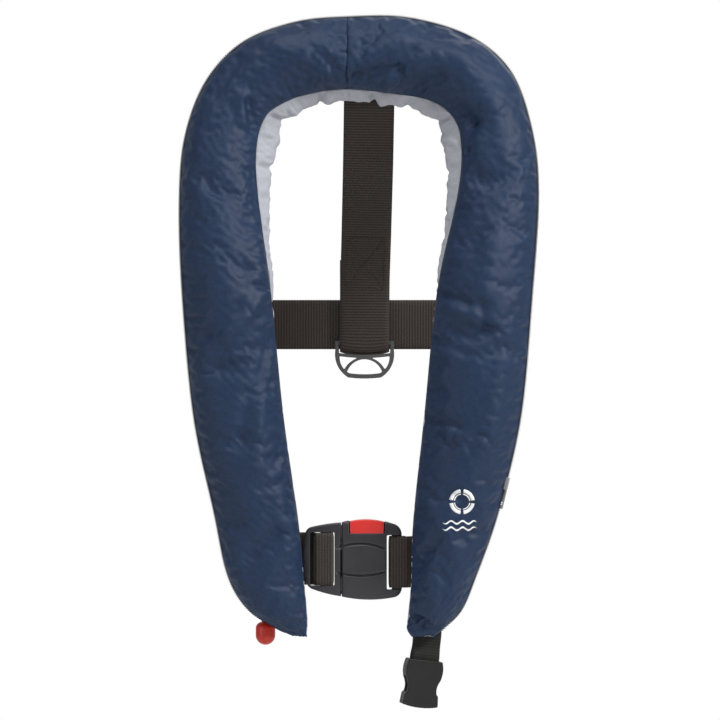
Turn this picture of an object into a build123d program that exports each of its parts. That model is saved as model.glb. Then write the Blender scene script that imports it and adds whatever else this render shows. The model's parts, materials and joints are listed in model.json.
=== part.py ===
from build123d import *
from collections import namedtuple
from math import cos, radians, sin
import os

# Packed inflatable life jacket, hanging as it is worn. Millimetres, +Z up, the wearer faces -Y.
# The origin is where the top of the neck opening rests on the wearer's neck.

os.makedirs("parts", exist_ok=True)

# driving dimensions
WEB_W = 45.0
WEB_T = 1.6
CROTCH_W = 25.0
FABRIC = 2.5
EDGE_GAP = 1.5
ZIP_OUT = 3.6
CREST = 0.45
COLLAR_BACK = 45.0
COLLAR_RISE = 230.0
LOBE_TOP_Z = -190.0

BACK_BELT_Z = -189.0
BACK_BELT_Y = 164.0
STRAP_X = 5.1
BUCKLE_Y = 22.0


def export(part, name):
    """Label one finished piece and write it."""
    part.part.label = name
    export_step(part.part, "parts/" + name + ".step")


# ---------------------------------------------------------------- horseshoe stations
# Each station crosses the horseshoe from its neck seam to its zip edge, as (x, z) points, with the
# bulge to the front and to the back and how far the lining stands proud of the seam into the neck.
Station = namedtuple("Station", "outer seam front back lip")

LEFT = [
    Station((-70, -458), (-47, -463), 6, 5, 2),
    Station((-98, -440), (-45.5, -447), 15, 10, 2),
    Station((-116, -410), (-48.5, -415), 23, 14, 2),
    Station((-128, -355), (-53, -362), 26, 16, 3),
    Station((-146, -270), (-66, -270), 28, 18, 3),
    Station((-156, -162), (-77, -162), 29, 21, 5),
    Station((-159, -75), (-89, -74), 29, 23, 14),
    Station((-154, -20), (-90, -32), 29, 24, 19),
    Station((-136, 27), (-82, -6), 29, 24, 17),
    Station((-104, 61), (-62, 8), 29, 24, 14),
    Station((-58, 79), (-38, 15), 29, 24, 12),
    Station((-10.5, 84), (-10.5, 18), 29, 24, 12),
]
RIGHT = [
    Station((-10, 84), (-10, 18), 29, 24, 12),
    Station((45, 83), (30, 14), 29, 24, 12),
    Station((100, 66), (63, 8), 29, 24, 13),
    Station((136, 34), (83, -7), 29, 24, 16),
    Station((154, -18), (90, -31), 29, 24, 17),
    Station((159, -75), (87, -74), 29, 23, 12),
    Station((153, -162), (68.5, -160), 29, 21, 5),
    Station((143, -270), (57, -270), 28, 18, 3),
    Station((123, -355), (47.5, -361), 26, 16, 3),
    Station((103, -412), (45.5, -416), 23, 14, 2),
    Station((89, -441), (43.5, -448), 15, 10, 2),
    Station((70, -459), (43, -463), 6, 5, 2),
]
WHOLE = LEFT + RIGHT[1:]


def collar_depth(z):
    """How far back the horseshoe's middle lies at height z: the collar goes round the neck."""
    rise = min(max((z - LOBE_TOP_Z) / COLLAR_RISE, 0), 1)
    return COLLAR_BACK * rise * rise * (3 - 2 * rise)


def station_plane(station):
    """Plane of one station, x from the seam to the zip edge and y to the back, with its width."""
    run = Vector(station.outer[0] - station.seam[0], 0, station.outer[1] - station.seam[1])
    depth = collar_depth((station.outer[1] + station.seam[1]) / 2)
    origin = (station.seam[0], depth, station.seam[1])
    plane = Plane(origin=origin, x_dir=run, z_dir=Vector(-run.Z, 0, run.X))
    return plane, run.length - ZIP_OUT


def tuck(station):
    """How far in front of the mid plane the neck seam lies."""
    return 1 + 0.6 * station.lip


def inward(points, width):
    """The same points moved one cloth thickness towards the section's middle."""
    middle = Vector(CREST * width, 0)
    return [p + (middle - p).normalized() * FABRIC for p in points]


def front_section(station):
    """Crescent of the blue cover, from the neck seam over the front to the zip."""
    plane, width = station_plane(station)
    outer = [
        Vector(0, -tuck(station)),
        Vector(CREST * width, -station.front),
        Vector(width, -EDGE_GAP),
    ]
    inner = inward(outer, width)
    with BuildSketch(plane) as section:
        with BuildLine():
            ThreePointArc(outer[0], outer[1], outer[2])
            Line(outer[2], inner[2])
            ThreePointArc(inner[2], inner[1], inner[0])
            Line(inner[0], outer[0])
        make_face()
    return section.sketch


def lining_section(station):
    """Crescent of the grey lining, from the neck seam round the inside of the neck to the zip."""
    plane, width = station_plane(station)
    outer = [
        Vector(-0.5, 0.6 - tuck(station)),
        Vector(-station.lip, 0.15 * station.back),
        Vector(0.04 * width, 0.65 * station.back),
        Vector(CREST * width, station.back),
        Vector(width, EDGE_GAP),
    ]
    inner = inward(outer, width)
    with BuildSketch(plane) as section:
        with BuildLine():
            ThreePointArc(outer[0], outer[1], outer[2])
            ThreePointArc(outer[2], outer[3], outer[4])
            Line(outer[4], inner[4])
            ThreePointArc(inner[4], inner[3], inner[2])
            ThreePointArc(inner[2], inner[1], inner[0])
            Line(inner[0], outer[0])
        make_face()
    return section.sketch


def bladder_section(station):
    """Lens of the folded bladder inside the cover."""
    plane, width = station_plane(station)
    near = Vector(0.12 * width, 0)
    far = Vector(0.8 * width, 0)
    with BuildSketch(plane) as section:
        with BuildLine():
            ThreePointArc(near, Vector(CREST * width, -0.66 * station.front), far)
            ThreePointArc(far, Vector(CREST * width, 0.45 * station.back), near)
        make_face()
    return section.sketch


def edge_strip_section(station, start, end, half):
    """Rectangle of the zip, measured outwards from the cover's edge."""
    plane, width = station_plane(station)
    with BuildSketch(plane) as section:
        with Locations((width + (start + end) / 2, 0)):
            Rectangle(end - start, 2 * half)
    return section.sketch


# ---------------------------------------------------------------- cover, lining and bladder
TOGGLE_X = -82.0
TOGGLE_Y = 9.0
TOGGLE_R = 8.6
TOGGLE_END = -471.2
GROMMET_R = 4.6

with BuildPart() as cover_front_left:
    for station in LEFT:
        add(front_section(station))
    loft(ruled=True)
export(cover_front_left, "cover_front_left")

with BuildPart() as cover_front_right:
    for station in RIGHT:
        add(front_section(station))
    loft(ruled=True)
export(cover_front_right, "cover_front_right")

with BuildPart() as back_lining:
    for station in WHOLE:
        add(lining_section(station))
    loft(ruled=True)
    # way out for the manual inflation cord
    with Locations((TOGGLE_X, TOGGLE_Y, -442)):
        Cylinder(GROMMET_R, 60, mode=Mode.SUBTRACT)
    # recess that the toggle tucks into
    with Locations((TOGGLE_X, TOGGLE_Y, -462)):
        Cylinder(TOGGLE_R + 0.6, 26, mode=Mode.SUBTRACT)
export(back_lining, "back_lining")

INFLATOR_POCKET = ((-150, -40, -380), (-79, 40, -222))
ORAL_POCKET = ((84, -40, -380), (140, 40, -160))

with BuildPart() as folded_bladder:
    for station in WHOLE[3:-3]:
        add(bladder_section(station))
    loft(ruled=True)
    for low, high in (INFLATOR_POCKET, ORAL_POCKET):
        with Locations(((low[0] + high[0]) / 2, (low[1] + high[1]) / 2, (low[2] + high[2]) / 2)):
            Box(high[0] - low[0], high[1] - low[1], high[2] - low[2], mode=Mode.SUBTRACT)
export(folded_bladder, "folded_bladder")

# ---------------------------------------------------------------- burst-open zip
with BuildPart() as zip_tape:
    for station in WHOLE:
        add(edge_strip_section(station, -5, 1.2, 0.6))
    loft(ruled=True)
export(zip_tape, "zip_tape")

with BuildPart() as zip_coil:
    for station in WHOLE:
        add(edge_strip_section(station, 1.3, ZIP_OUT, 1.2))
    loft(ruled=True)
export(zip_coil, "zip_coil")

# the slider rides the right-hand edge where it runs straight, with its tab at the back
SLIDER_SHARE = 0.3
PIN_D = 5.0
TAB_X = -0.6
low_edge = Vector(RIGHT[8].outer[0], 0, RIGHT[8].outer[1])
high_edge = Vector(RIGHT[7].outer[0], 0, RIGHT[7].outer[1])
edge_run = (high_edge - low_edge).normalized()
edge_out = Vector(edge_run.Z, 0, -edge_run.X)
slider_at = low_edge + (high_edge - low_edge) * SLIDER_SHARE
slider_plane = Plane(origin=slider_at, x_dir=edge_out, z_dir=edge_run)
back_plane = Plane(origin=slider_at, x_dir=edge_out, z_dir=(0, 1, 0))
across_plane = Plane(origin=slider_at, x_dir=edge_run, z_dir=edge_out)

with BuildPart() as zip_slider:
    with BuildSketch(slider_plane):
        with Locations((-0.2, 0)):
            RectangleRounded(4.4, 7.0, 1.2)
    extrude(amount=5.5, both=True)
    # channel that the closed coil runs through
    with BuildSketch(slider_plane):
        with Locations((-1.6, 0)):
            Rectangle(5.0, 3.6)
    extrude(amount=6, both=True, mode=Mode.SUBTRACT)
    # bridge for the pull tab on the back face, with its pin hole
    with BuildSketch(back_plane.offset(3.3)):
        with Locations((TAB_X, 0)):
            Rectangle(2.2, 3.6)
    extrude(amount=3.4)
    with BuildSketch(across_plane):
        with Locations((0, -PIN_D)):
            Circle(0.95)
    extrude(amount=4, both=True, mode=Mode.SUBTRACT)
export(zip_slider, "zip_slider")

TAB_L = 24.0
with BuildPart() as zip_pull:
    with BuildSketch(back_plane.offset(PIN_D - 0.75)):
        with Locations((TAB_X, TAB_L / 2 - 1.2)):
            RectangleRounded(5.2, TAB_L, 1.0)
        with Locations((TAB_X, 0)):
            Rectangle(3.2, 6.4, mode=Mode.SUBTRACT)
        with Locations((TAB_X, TAB_L - 6)):
            Circle(1.5, mode=Mode.SUBTRACT)
    extrude(amount=1.5)
    with BuildSketch(across_plane.offset(TAB_X - 2.4)):
        with Locations((0, -PIN_D)):
            Circle(0.7)
    extrude(amount=4.8)
export(zip_pull, "zip_pull")


# ---------------------------------------------------------------- webbing
def ribbon_section(point, width_dir, along, width, thick):
    """Rectangle of flat webbing across its run."""
    with BuildSketch(Plane(origin=point, x_dir=width_dir, z_dir=along)) as section:
        Rectangle(width, thick)
    return section.sketch


def folded_webbing(plane, points, radii, width):
    """Webbing that bends only about its width: a thick line in plane, extruded both ways."""
    with BuildPart() as webbing:
        with BuildSketch(plane):
            with BuildLine() as route:
                FilletPolyline(*points, radius=radii)
            trace(route.line, WEB_T)
        extrude(amount=width / 2, both=True)
    return webbing


# belt behind the wearer, and its sides that come forward and down behind the lobes
BELT_BACK_HALF = 92.0
with BuildPart() as waist_belt_back:
    with Locations((0, BACK_BELT_Y, BACK_BELT_Z)):
        Box(2 * BELT_BACK_HALF, WEB_T, WEB_W)
export(waist_belt_back, "waist_belt_back")

# (point, width direction, run direction) from the back towards the front, for the right side
SIDE_RUN = [
    ((BELT_BACK_HALF + 0.1, BACK_BELT_Y, BACK_BELT_Z), (0, 0, 1), (1, 0, 0)),
    ((116, 157, -198), (-0.1, -0.42, 0.9), (0.78, -0.58, -0.2)),
    ((128, 132, -226), (-0.1, -0.72, 0.68), (0.24, -0.68, -0.68)),
    ((124, 100, -274), (0, -0.84, 0.53), (-0.16, -0.52, -0.83)),
    ((112, 68, -330), (0, -0.86, 0.5), (-0.22, -0.5, -0.84)),
    ((99, 42, -380), (0.3, -0.5, 0.8), (-0.55, -0.5, -0.6)),
    ((84, 31.5, -397), (0.1, -0.1, 0.99), (-0.96, -0.22, -0.1)),
    ((64, 30, -398.5), (0, 0, 1), (-1, 0, 0)),
]


def belt_side(sign, end_y):
    """One side of the waist belt, mirrored by sign, ending behind a lobe at depth end_y."""
    with BuildPart() as side:
        for index, (point, width_dir, along) in enumerate(SIDE_RUN):
            depth = point[1] if index < 6 else point[1] + end_y
            place = (sign * point[0], depth, point[2])
            face_width = (sign * width_dir[0], width_dir[1], width_dir[2])
            face_along = (sign * along[0], along[1], along[2])
            add(ribbon_section(place, face_width, face_along, WEB_W, WEB_T))
        loft()
    return side


belt_side_right = belt_side(1, 0)
export(belt_side_right, "belt_side_right")
belt_side_left = belt_side(-1, 2.6)
export(belt_side_left, "belt_side_left")

belt_front_right = folded_webbing(
    Plane.XY.offset(-399),
    [(63.8, 30), (50, 26), (42, 17.2), (27.6, 17.2), (27.6, 27.6), (41, 27.6)],
    2.0,
    WEB_W,
)
export(belt_front_right, "belt_front_right")

belt_front_left = folded_webbing(
    Plane.XY.offset(-396.5),
    [(-66, 28.9), (-40.5, 28.9), (-37.6, 17.4), (-23.8, 17.4), (-23.8, 26.4), (-34, 26.4)],
    1.6,
    WEB_W,
)
export(belt_front_left, "belt_front_left")

# bands on the backs of the lobes that hold the belt
TUNNEL_W = 16.0
for side, tunnel_x, back in (("left", -82.5, 46.0), ("right", 74.0, 36.0)):
    tunnel = folded_webbing(
        Plane(origin=(tunnel_x, 0, 0), x_dir=(0, 1, 0), z_dir=(1, 0, 0)),
        [(18, -360), (18, -368), (back, -373), (back, -425), (18, -430), (18, -438)],
        2.5,
        TUNNEL_W,
    )
    export(tunnel, "belt_tunnel_" + side)

# back strap: down from the collar in front of the belt, through the ring, up behind the belt
back_strap = folded_webbing(
    Plane(origin=(STRAP_X, 0, 0), x_dir=(0, 1, 0), z_dir=(1, 0, 0)),
    [
        (71.5, 40), (73, 4), (92, -44), (132, -110), (156.5, -150), (156.5, -206.5),
        (158.2, -210.6), (162.3, -213.9), (166.2, -213.9), (167.6, -210.5), (167.6, -160),
        (160, -140), (158.6, -130),
    ],
    [20, 40, 60, 50, 2, 1.5, 1.5, 1.2, 1.2, 10, 8],
    WEB_W,
)
export(back_strap, "back_strap")

# ---------------------------------------------------------------- ring below the back strap
RING_X = 5.1
RING_Y = 159.7
RING_T = 3.0

with BuildPart() as back_ring:
    with BuildSketch(Plane(origin=(RING_X, RING_Y, 0), x_dir=(1, 0, 0), z_dir=(0, -1, 0))):
        with BuildLine():
            Polyline((-26.8, -204), (26.8, -204), (26.8, -212))
            ThreePointArc((26.8, -212), (24.6, -227), (15, -237.4))
            ThreePointArc((15, -237.4), (0, -238.4), (-15, -237.4))
            ThreePointArc((-15, -237.4), (-24.6, -227), (-26.8, -212))
            Line((-26.8, -212), (-26.8, -204))
        make_face()
        # slot for the webbing and the window below the bar
        with BuildLine():
            Polyline((-23.4, -207.4), (23.4, -207.4), (23.4, -215))
            ThreePointArc((23.4, -215), (0, -216.6), (-23.4, -215))
            Line((-23.4, -215), (-23.4, -207.4))
        make_face(mode=Mode.SUBTRACT)
        with BuildLine():
            ThreePointArc((-22.8, -218), (0, -219.6), (22.8, -218))
            ThreePointArc((22.8, -218), (20.6, -227), (14, -233.4))
            ThreePointArc((14, -233.4), (0, -234.4), (-14, -233.4))
            ThreePointArc((-14, -233.4), (-20.6, -227), (-22.8, -218))
        make_face(mode=Mode.SUBTRACT)
    extrude(amount=RING_T / 2, both=True)
    # arch between the bar and the lower rim
    with BuildSketch(Plane(origin=(RING_X, RING_Y, 0), x_dir=(1, 0, 0), z_dir=(0, -1, 0))):
        with BuildLine():
            ThreePointArc((-19.5, -232), (0, -218.6), (19.5, -232))
            Line((19.5, -232), (16.4, -233.8))
            ThreePointArc((16.4, -233.8), (0, -220.8), (-16.4, -233.8))
            Line((-16.4, -233.8), (-19.5, -232))
        make_face()
    extrude(amount=1.2, both=True)
export(back_ring, "back_ring")

# ---------------------------------------------------------------- waist buckle
SPLIT_X = -15.5
HALF_GAP = 0.25
SHELL_T = 8.0
buckle_front = Plane(origin=(0, BUCKLE_Y, 0), x_dir=(1, 0, 0), z_dir=(0, -1, 0))


def box_between(low, high, mode=Mode.ADD):
    """Box between two corners, in the part that is being built."""
    sizes = [high[i] - low[i] for i in range(3)]
    middle = tuple((high[i] + low[i]) / 2 for i in range(3))
    with Locations(middle):
        Box(*sizes, mode=mode)


def socket_half(front):
    """Front or back shell of the buckle's socket half."""
    with BuildPart() as shell:
        with BuildSketch(buckle_front):
            with BuildLine():
                ThreePointArc((SPLIT_X + HALF_GAP, -364.2), (8, -361.4), (30, -365.5))
                ThreePointArc((30, -365.5), (35.6, -369), (37.6, -376))
                Line((37.6, -376), (37.6, -420))
                ThreePointArc((37.6, -420), (36, -427), (30, -430.4))
                ThreePointArc((30, -430.4), (8, -432.3), (SPLIT_X + HALF_GAP, -429.6))
                Line((SPLIT_X + HALF_GAP, -429.6), (SPLIT_X + HALF_GAP, -364.2))
            make_face()
        extrude(amount=SHELL_T, both=True)
        fillet(shell.edges().filter_by(Plane.XZ).group_by(Axis.Y)[0], 3.0)
        fillet(shell.edges().filter_by(Plane.XZ).group_by(Axis.Y)[-1], 3.0)
        # chamber of the tongue, chamber of the button and springs, passage of the latch
        box_between((SPLIT_X, 18, -414), (12, 26, -388.5), Mode.SUBTRACT)
        box_between((-8.7, 15.4, -385), (22.7, 28.6, -360), Mode.SUBTRACT)
        box_between((3, 19, -388.6), (11, 25, -384.9), Mode.SUBTRACT)
        # window in the front that shows the button
        box_between((-8.7, 12, -373.9), (22.7, 16, -360), Mode.SUBTRACT)
        # webbing slot, and the slimmer bar beside it
        box_between((24.5, 10, -423.5), (28.9, 34, -375.4), Mode.SUBTRACT)
        box_between((28.8, 10, -423.5), (40, 18.4, -375.4), Mode.SUBTRACT)
        box_between((28.8, 26.2, -423.5), (40, 34, -375.4), Mode.SUBTRACT)
        # curved grooves of the front panel
        with BuildSketch(buckle_front.offset(SHELL_T - 0.6)):
            with BuildLine() as top_groove:
                ThreePointArc((SPLIT_X, -386), (2, -383), (23, -388))
            trace(top_groove.line, 1.2)
            with BuildLine() as low_groove:
                ThreePointArc((SPLIT_X, -408.5), (2, -411), (23, -408))
            trace(low_groove.line, 1.2)
        extrude(amount=2, mode=Mode.SUBTRACT)
        split(bisect_by=Plane.XZ.offset(-BUCKLE_Y), keep=Keep.TOP if front else Keep.BOTTOM)
    return shell


buckle_front_shell = socket_half(True)
export(buckle_front_shell, "buckle_front_shell")
buckle_back_shell = socket_half(False)
export(buckle_back_shell, "buckle_back_shell")

with BuildPart() as release_button:
    with BuildSketch(buckle_front):
        with BuildLine():
            ThreePointArc((-8, -363.2), (7, -361.6), (22, -363.6))
            Polyline((22, -363.6), (22, -375), (-8, -375), (-8, -363.2))
        make_face()
    extrude(amount=6.2, both=True)
    fillet(release_button.edges().group_by(Axis.Z)[-1], 1.2)
export(release_button, "release_button")

# steel latch under the button, reaching beside the tongue
with BuildPart() as latch_plate:
    box_between((4, 20.5, -409), (10, 23.5, -375.1))
export(latch_plate, "latch_plate")

SPRING_R = 2.4
with BuildPart() as button_springs:
    for spring_x in (-4.0, 18.0):
        with BuildLine() as coil:
            Helix(pitch=2.1, height=8.0, radius=SPRING_R, center=(spring_x, BUCKLE_Y, -384.1))
        with BuildSketch(Plane(origin=coil.line @ 0, z_dir=coil.line % 0)):
            Circle(0.4)
        sweep(path=coil.line)
export(button_springs, "button_springs")

with BuildPart() as buckle_tongue:
    with BuildSketch(buckle_front):
        with BuildLine():
            ThreePointArc((SPLIT_X - HALF_GAP, -364.4), (-30, -366), (-42, -368.4))
            ThreePointArc((-42, -368.4), (-46, -371), (-47.2, -376))
            ThreePointArc((-47.2, -376), (-48.6, -396), (-46.8, -414))
            ThreePointArc((-46.8, -414), (-45, -420), (-40, -423.4))
            ThreePointArc((-40, -423.4), (-29, -426.8), (SPLIT_X - HALF_GAP, -429.4))
            Line((SPLIT_X - HALF_GAP, -429.4), (SPLIT_X - HALF_GAP, -364.4))
        make_face()
    extrude(amount=5.5, both=True)
    fillet(buckle_tongue.edges().filter_by(Plane.XZ), 1.6)
    # window that the adjuster bar crosses
    box_between((-43, 10, -420), (-21.6, 34, -373), Mode.SUBTRACT)
    # tongue that enters the socket, with its latching hole
    box_between((-16.5, 19.5, -412), (1.5, 24.5, -390.5))
    box_between((-8, 18, -405), (-2, 26, -397), Mode.SUBTRACT)
export(buckle_tongue, "buckle_tongue")

with BuildPart() as adjuster_bar:
    with BuildSketch(Plane.XY.offset(-396.5)):
        with Locations((-30.6, 22)):
            RectangleRounded(8.0, 5.0, 1.6)
    extrude(amount=23.4, both=True)
export(adjuster_bar, "adjuster_bar")

# ---------------------------------------------------------------- manual and automatic inflator
LEVER_PIVOT = (-98.0, -1.0, -402.0)
LEVER_L = 18.0
inflator_axis = (-0.131, 0, 0.991)
bottle_plane = Plane(origin=(-92, -3, -350), x_dir=(0, 1, 0), z_dir=inflator_axis)

with BuildPart() as inflator_body:
    box_between((-102, -9, -398), (-82, 4, -354))
    fillet(inflator_body.edges().filter_by(Axis.Z), 3.0)
    # bore of the firing pin and socket of the gas bottle
    with Locations((-92, -3, -376)):
        Cylinder(3.4, 44.2, mode=Mode.SUBTRACT)
    with BuildSketch(bottle_plane.offset(-12)):
        Circle(6.1)
    extrude(amount=20, mode=Mode.SUBTRACT)
    # ears of the lever pin
    box_between((-100.5, -6.5, -405), (-95.5, -4.2, -397))
    box_between((-100.5, 2.2, -405), (-95.5, 4.0, -397))
    with BuildSketch(Plane(origin=LEVER_PIVOT, x_dir=(1, 0, 0), z_dir=(0, -1, 0))):
        Circle(1.5)
    extrude(amount=12, both=True, mode=Mode.SUBTRACT)
export(inflator_body, "inflator_body")

with BuildPart() as lever_pin:
    with BuildSketch(Plane(origin=LEVER_PIVOT, x_dir=(1, 0, 0), z_dir=(0, -1, 0))):
        Circle(1.45)
    extrude(amount=5.4, both=True)
export(lever_pin, "lever_pin")

with BuildPart() as inflator_lever:
    with BuildSketch(Plane(origin=LEVER_PIVOT, x_dir=(1, 0, 0), z_dir=(0, -1, 0))):
        Circle(2.8)
        with Locations((LEVER_L / 2, -0.8)):
            RectangleRounded(LEVER_L, 3.0, 1.2)
        Circle(1.5, mode=Mode.SUBTRACT)
    extrude(amount=2.6, both=True)
    # peg at the lever's end that the cord hangs from
    box_between((-84.5, 1.4, -404.2), (-80.5, 7.2, -401.6))
export(inflator_lever, "inflator_lever")

with BuildPart() as firing_pin:
    with BuildSketch(Plane.XY.offset(-394)):
        with Locations((-92, -3)):
            Circle(3.0)
    extrude(amount=14)
    with BuildSketch(Plane.XY.offset(-380)):
        with Locations((-92, -3)):
            Circle(1.0)
    extrude(amount=8)
export(firing_pin, "firing_pin")

with BuildPart() as firing_spring:
    with BuildLine() as coil:
        Helix(pitch=2.8, height=16.8, radius=2.4, center=(-92, -3, -379.2))
    with BuildSketch(Plane(origin=coil.line @ 0, z_dir=coil.line % 0)):
        Circle(0.4)
    sweep(path=coil.line)
export(firing_spring, "firing_spring")

BOTTLE_R = 13.0
with BuildPart() as gas_bottle:
    with BuildSketch(bottle_plane.offset(-11)):
        Circle(5.7)
    extrude(amount=26)
    with BuildSketch(bottle_plane.offset(8.5)):
        Circle(5.7)
    with BuildSketch(bottle_plane.offset(24)):
        Circle(BOTTLE_R)
    loft()
    with BuildSketch(bottle_plane.offset(24)):
        Circle(BOTTLE_R)
    extrude(amount=92)
    fillet(gas_bottle.faces().sort_by(Axis.Z)[-1].edges(), 8)
export(gas_bottle, "gas_bottle")

with BuildPart() as inflator_manifold:
    with BuildSketch(Plane(origin=(-92, -9.2, -376), x_dir=(1, 0, 0), z_dir=(0, -1, 0))):
        Circle(15)
        Circle(4, mode=Mode.SUBTRACT)
    extrude(amount=1.6)
export(inflator_manifold, "inflator_manifold")

with BuildPart() as sensor_cap:
    with Locations((-74, -3, -386)):
        Cylinder(6.5, 22)
        Cylinder(5.2, 18, mode=Mode.SUBTRACT)
export(sensor_cap, "sensor_cap")

with BuildPart() as sensor_tablet:
    with Locations((-74, -3, -386)):
        Cylinder(5.0, 8)
export(sensor_tablet, "sensor_tablet")

# red toggle below the lobe, with its cord up to the lever
with BuildPart() as pull_toggle:
    with BuildSketch(Plane(origin=(TOGGLE_X, TOGGLE_Y, 0), x_dir=(1, 0, 0), z_dir=(0, -1, 0))):
        with BuildLine():
            Polyline((0, -444), (3.2, -444), (3.2, -451))
            ThreePointArc((3.2, -451), (7.0, -452.8), (TOGGLE_R, -456.5))
            Line((TOGGLE_R, -456.5), (TOGGLE_R, TOGGLE_END + TOGGLE_R))
            ThreePointArc(
                (TOGGLE_R, TOGGLE_END + TOGGLE_R),
                (TOGGLE_R * sin(radians(45)), TOGGLE_END + TOGGLE_R * (1 - sin(radians(45)))),
                (0, TOGGLE_END),
            )
            Line((0, TOGGLE_END), (0, -444))
        make_face()
    revolve(axis=Axis((TOGGLE_X, TOGGLE_Y, 0), (0, 0, 1)))
export(pull_toggle, "pull_toggle")

with BuildPart() as pull_cord:
    with BuildSketch(Plane.XY.offset(-443.9)):
        with Locations((TOGGLE_X, TOGGLE_Y)):
            Circle(1.5)
    extrude(amount=38.9)
export(pull_cord, "pull_cord")

# ---------------------------------------------------------------- oral inflation tube
ORAL_X = 96.0
ORAL_Y = -2.0


def oral_disc(bottom, height, outer, inner=0.0):
    """Round piece on the oral tube's axis."""
    with BuildPart() as disc:
        with BuildSketch(Plane.XY.offset(bottom)):
            with Locations((ORAL_X, ORAL_Y)):
                Circle(outer)
                if inner > 0:
                    Circle(inner, mode=Mode.SUBTRACT)
        extrude(amount=height)
    return disc


export(oral_disc(-322, 4, 11.5, 4.0), "oral_flange")
export(oral_disc(-317.9, 96, 6.0, 4.2), "oral_tube")
export(oral_disc(-221.8, 26, 7.5, 4.0), "oral_valve_body")
with BuildPart() as oral_valve_poppet:
    with BuildSketch(Plane.XY.offset(-212)):
        with Locations((ORAL_X, ORAL_Y)):
            Circle(3.6)
    extrude(amount=3)
    with BuildSketch(Plane.XY.offset(-209)):
        with Locations((ORAL_X, ORAL_Y)):
            Circle(1.2)
    extrude(amount=12)
export(oral_valve_poppet, "oral_valve_poppet")
with BuildPart() as oral_valve_spring:
    with BuildLine() as coil:
        Helix(pitch=2.0, height=8, radius=2.6, center=(ORAL_X, ORAL_Y, -220.9))
    with BuildSketch(Plane(origin=coil.line @ 0, z_dir=coil.line % 0)):
        Circle(0.35)
    sweep(path=coil.line)
export(oral_valve_spring, "oral_valve_spring")
with BuildPart() as oral_dust_cap:
    with BuildSketch(Plane.XY.offset(-206)):
        with Locations((ORAL_X, ORAL_Y)):
            Circle(9.2)
    extrude(amount=16)
    with BuildSketch(Plane.XY.offset(-206)):
        with Locations((ORAL_X, ORAL_Y)):
            Circle(7.8)
    extrude(amount=13.5, mode=Mode.SUBTRACT)
export(oral_dust_cap, "oral_dust_cap")

with BuildPart() as whistle:
    box_between((114, -6, -300), (124, 2, -266))
    fillet(whistle.edges().filter_by(Axis.Z), 2.0)
    box_between((116, -4, -303), (122, 0, -280), Mode.SUBTRACT)
    box_between((115.9, -8, -280), (122.1, -2, -276), Mode.SUBTRACT)
export(whistle, "whistle")

# ---------------------------------------------------------------- crotch strap below the right lobe
CROTCH_TURN = 14.0
CROTCH_LEAN = 7.5
crotch_top = Vector(60.0, 12.4, -464.8)
across = Vector(cos(radians(CROTCH_TURN)), sin(radians(CROTCH_TURN)), 0)
down = Vector(-sin(radians(CROTCH_LEAN)), 0, -cos(radians(CROTCH_LEAN)))
across = (across - down * across.dot(down)).normalized()
forward = across.cross(down * -1)
crotch_side = Plane(origin=crotch_top, x_dir=forward * -1, z_dir=across)

with BuildPart() as crotch_anchor:
    box_between((47.5, 12.4 - WEB_T / 2, -461.9), (72.5, 12.4 + WEB_T / 2, -432))
export(crotch_anchor, "crotch_anchor")

crotch_webbing = folded_webbing(
    crotch_side,
    [(0.9, 0), (0.9, -9), (3.2, -16), (3.2, -24.4), (-3.2, -24.4), (-3.2, -16), (-0.9, -9), (-0.9, -1.5)],
    1.2,
    CROTCH_W,
)
export(crotch_webbing, "crotch_webbing")

SOCKET_TOP = 20.0
SOCKET_L = 42.0
SOCKET_HALF = 6.5
socket_at = crotch_top + down * SOCKET_TOP
socket_face = Plane(origin=socket_at, x_dir=across, z_dir=forward)
socket_side = Plane(origin=socket_at, x_dir=forward * -1, z_dir=across)

with BuildPart() as crotch_socket:
    with BuildSketch(socket_face):
        with BuildLine():
            Line((-15.2, 0), (15.2, 0))
            ThreePointArc((15.2, 0), (16.8, -9), (15.4, -17))
            ThreePointArc((15.4, -17), (13.2, -23), (13.6, -29))
            Polyline((13.6, -29), (15.2, -30.5), (16, -SOCKET_L + 2))
            ThreePointArc((16, -SOCKET_L + 2), (0, -SOCKET_L), (-16, -SOCKET_L + 2))
            Polyline((-16, -SOCKET_L + 2), (-15.2, -30.5), (-13.6, -29))
            ThreePointArc((-13.6, -29), (-13.2, -23), (-15.4, -17))
            ThreePointArc((-15.4, -17), (-16.8, -9), (-15.2, 0))
        make_face()
    extrude(amount=SOCKET_HALF, both=True)
    # mouth that the plug enters from below, side windows, webbing slot
    with BuildSketch(socket_face):
        with Locations((0, -34)):
            Rectangle(24.8, 46)
    extrude(amount=4.4, both=True, mode=Mode.SUBTRACT)
    with BuildSketch(socket_side):
        with Locations((0, -22)):
            SlotOverall(16, 6.6, rotation=90)
    extrude(amount=25, both=True, mode=Mode.SUBTRACT)
    with BuildSketch(socket_side):
        with Locations((0, -4.2)):
            Rectangle(10.0, 3.0)
    extrude(amount=12.9, both=True, mode=Mode.SUBTRACT)
    for face_side in (-1, 1):
        with BuildSketch(socket_face.offset(face_side * 3.4 - 1.6)):
            with Locations((0, -1)):
                Rectangle(25.8, 9.4)
        extrude(amount=3.2, mode=Mode.SUBTRACT)
export(crotch_socket, "crotch_socket")
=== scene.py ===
"""Looks of a packed inflatable life jacket, built around the frame that the CAD model gives."""

import json
import logging
import math
from dataclasses import dataclass, field
from enum import Enum

import bmesh
import bpy
import numpy as np
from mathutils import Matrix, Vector
from mathutils.bvhtree import BVHTree


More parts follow.
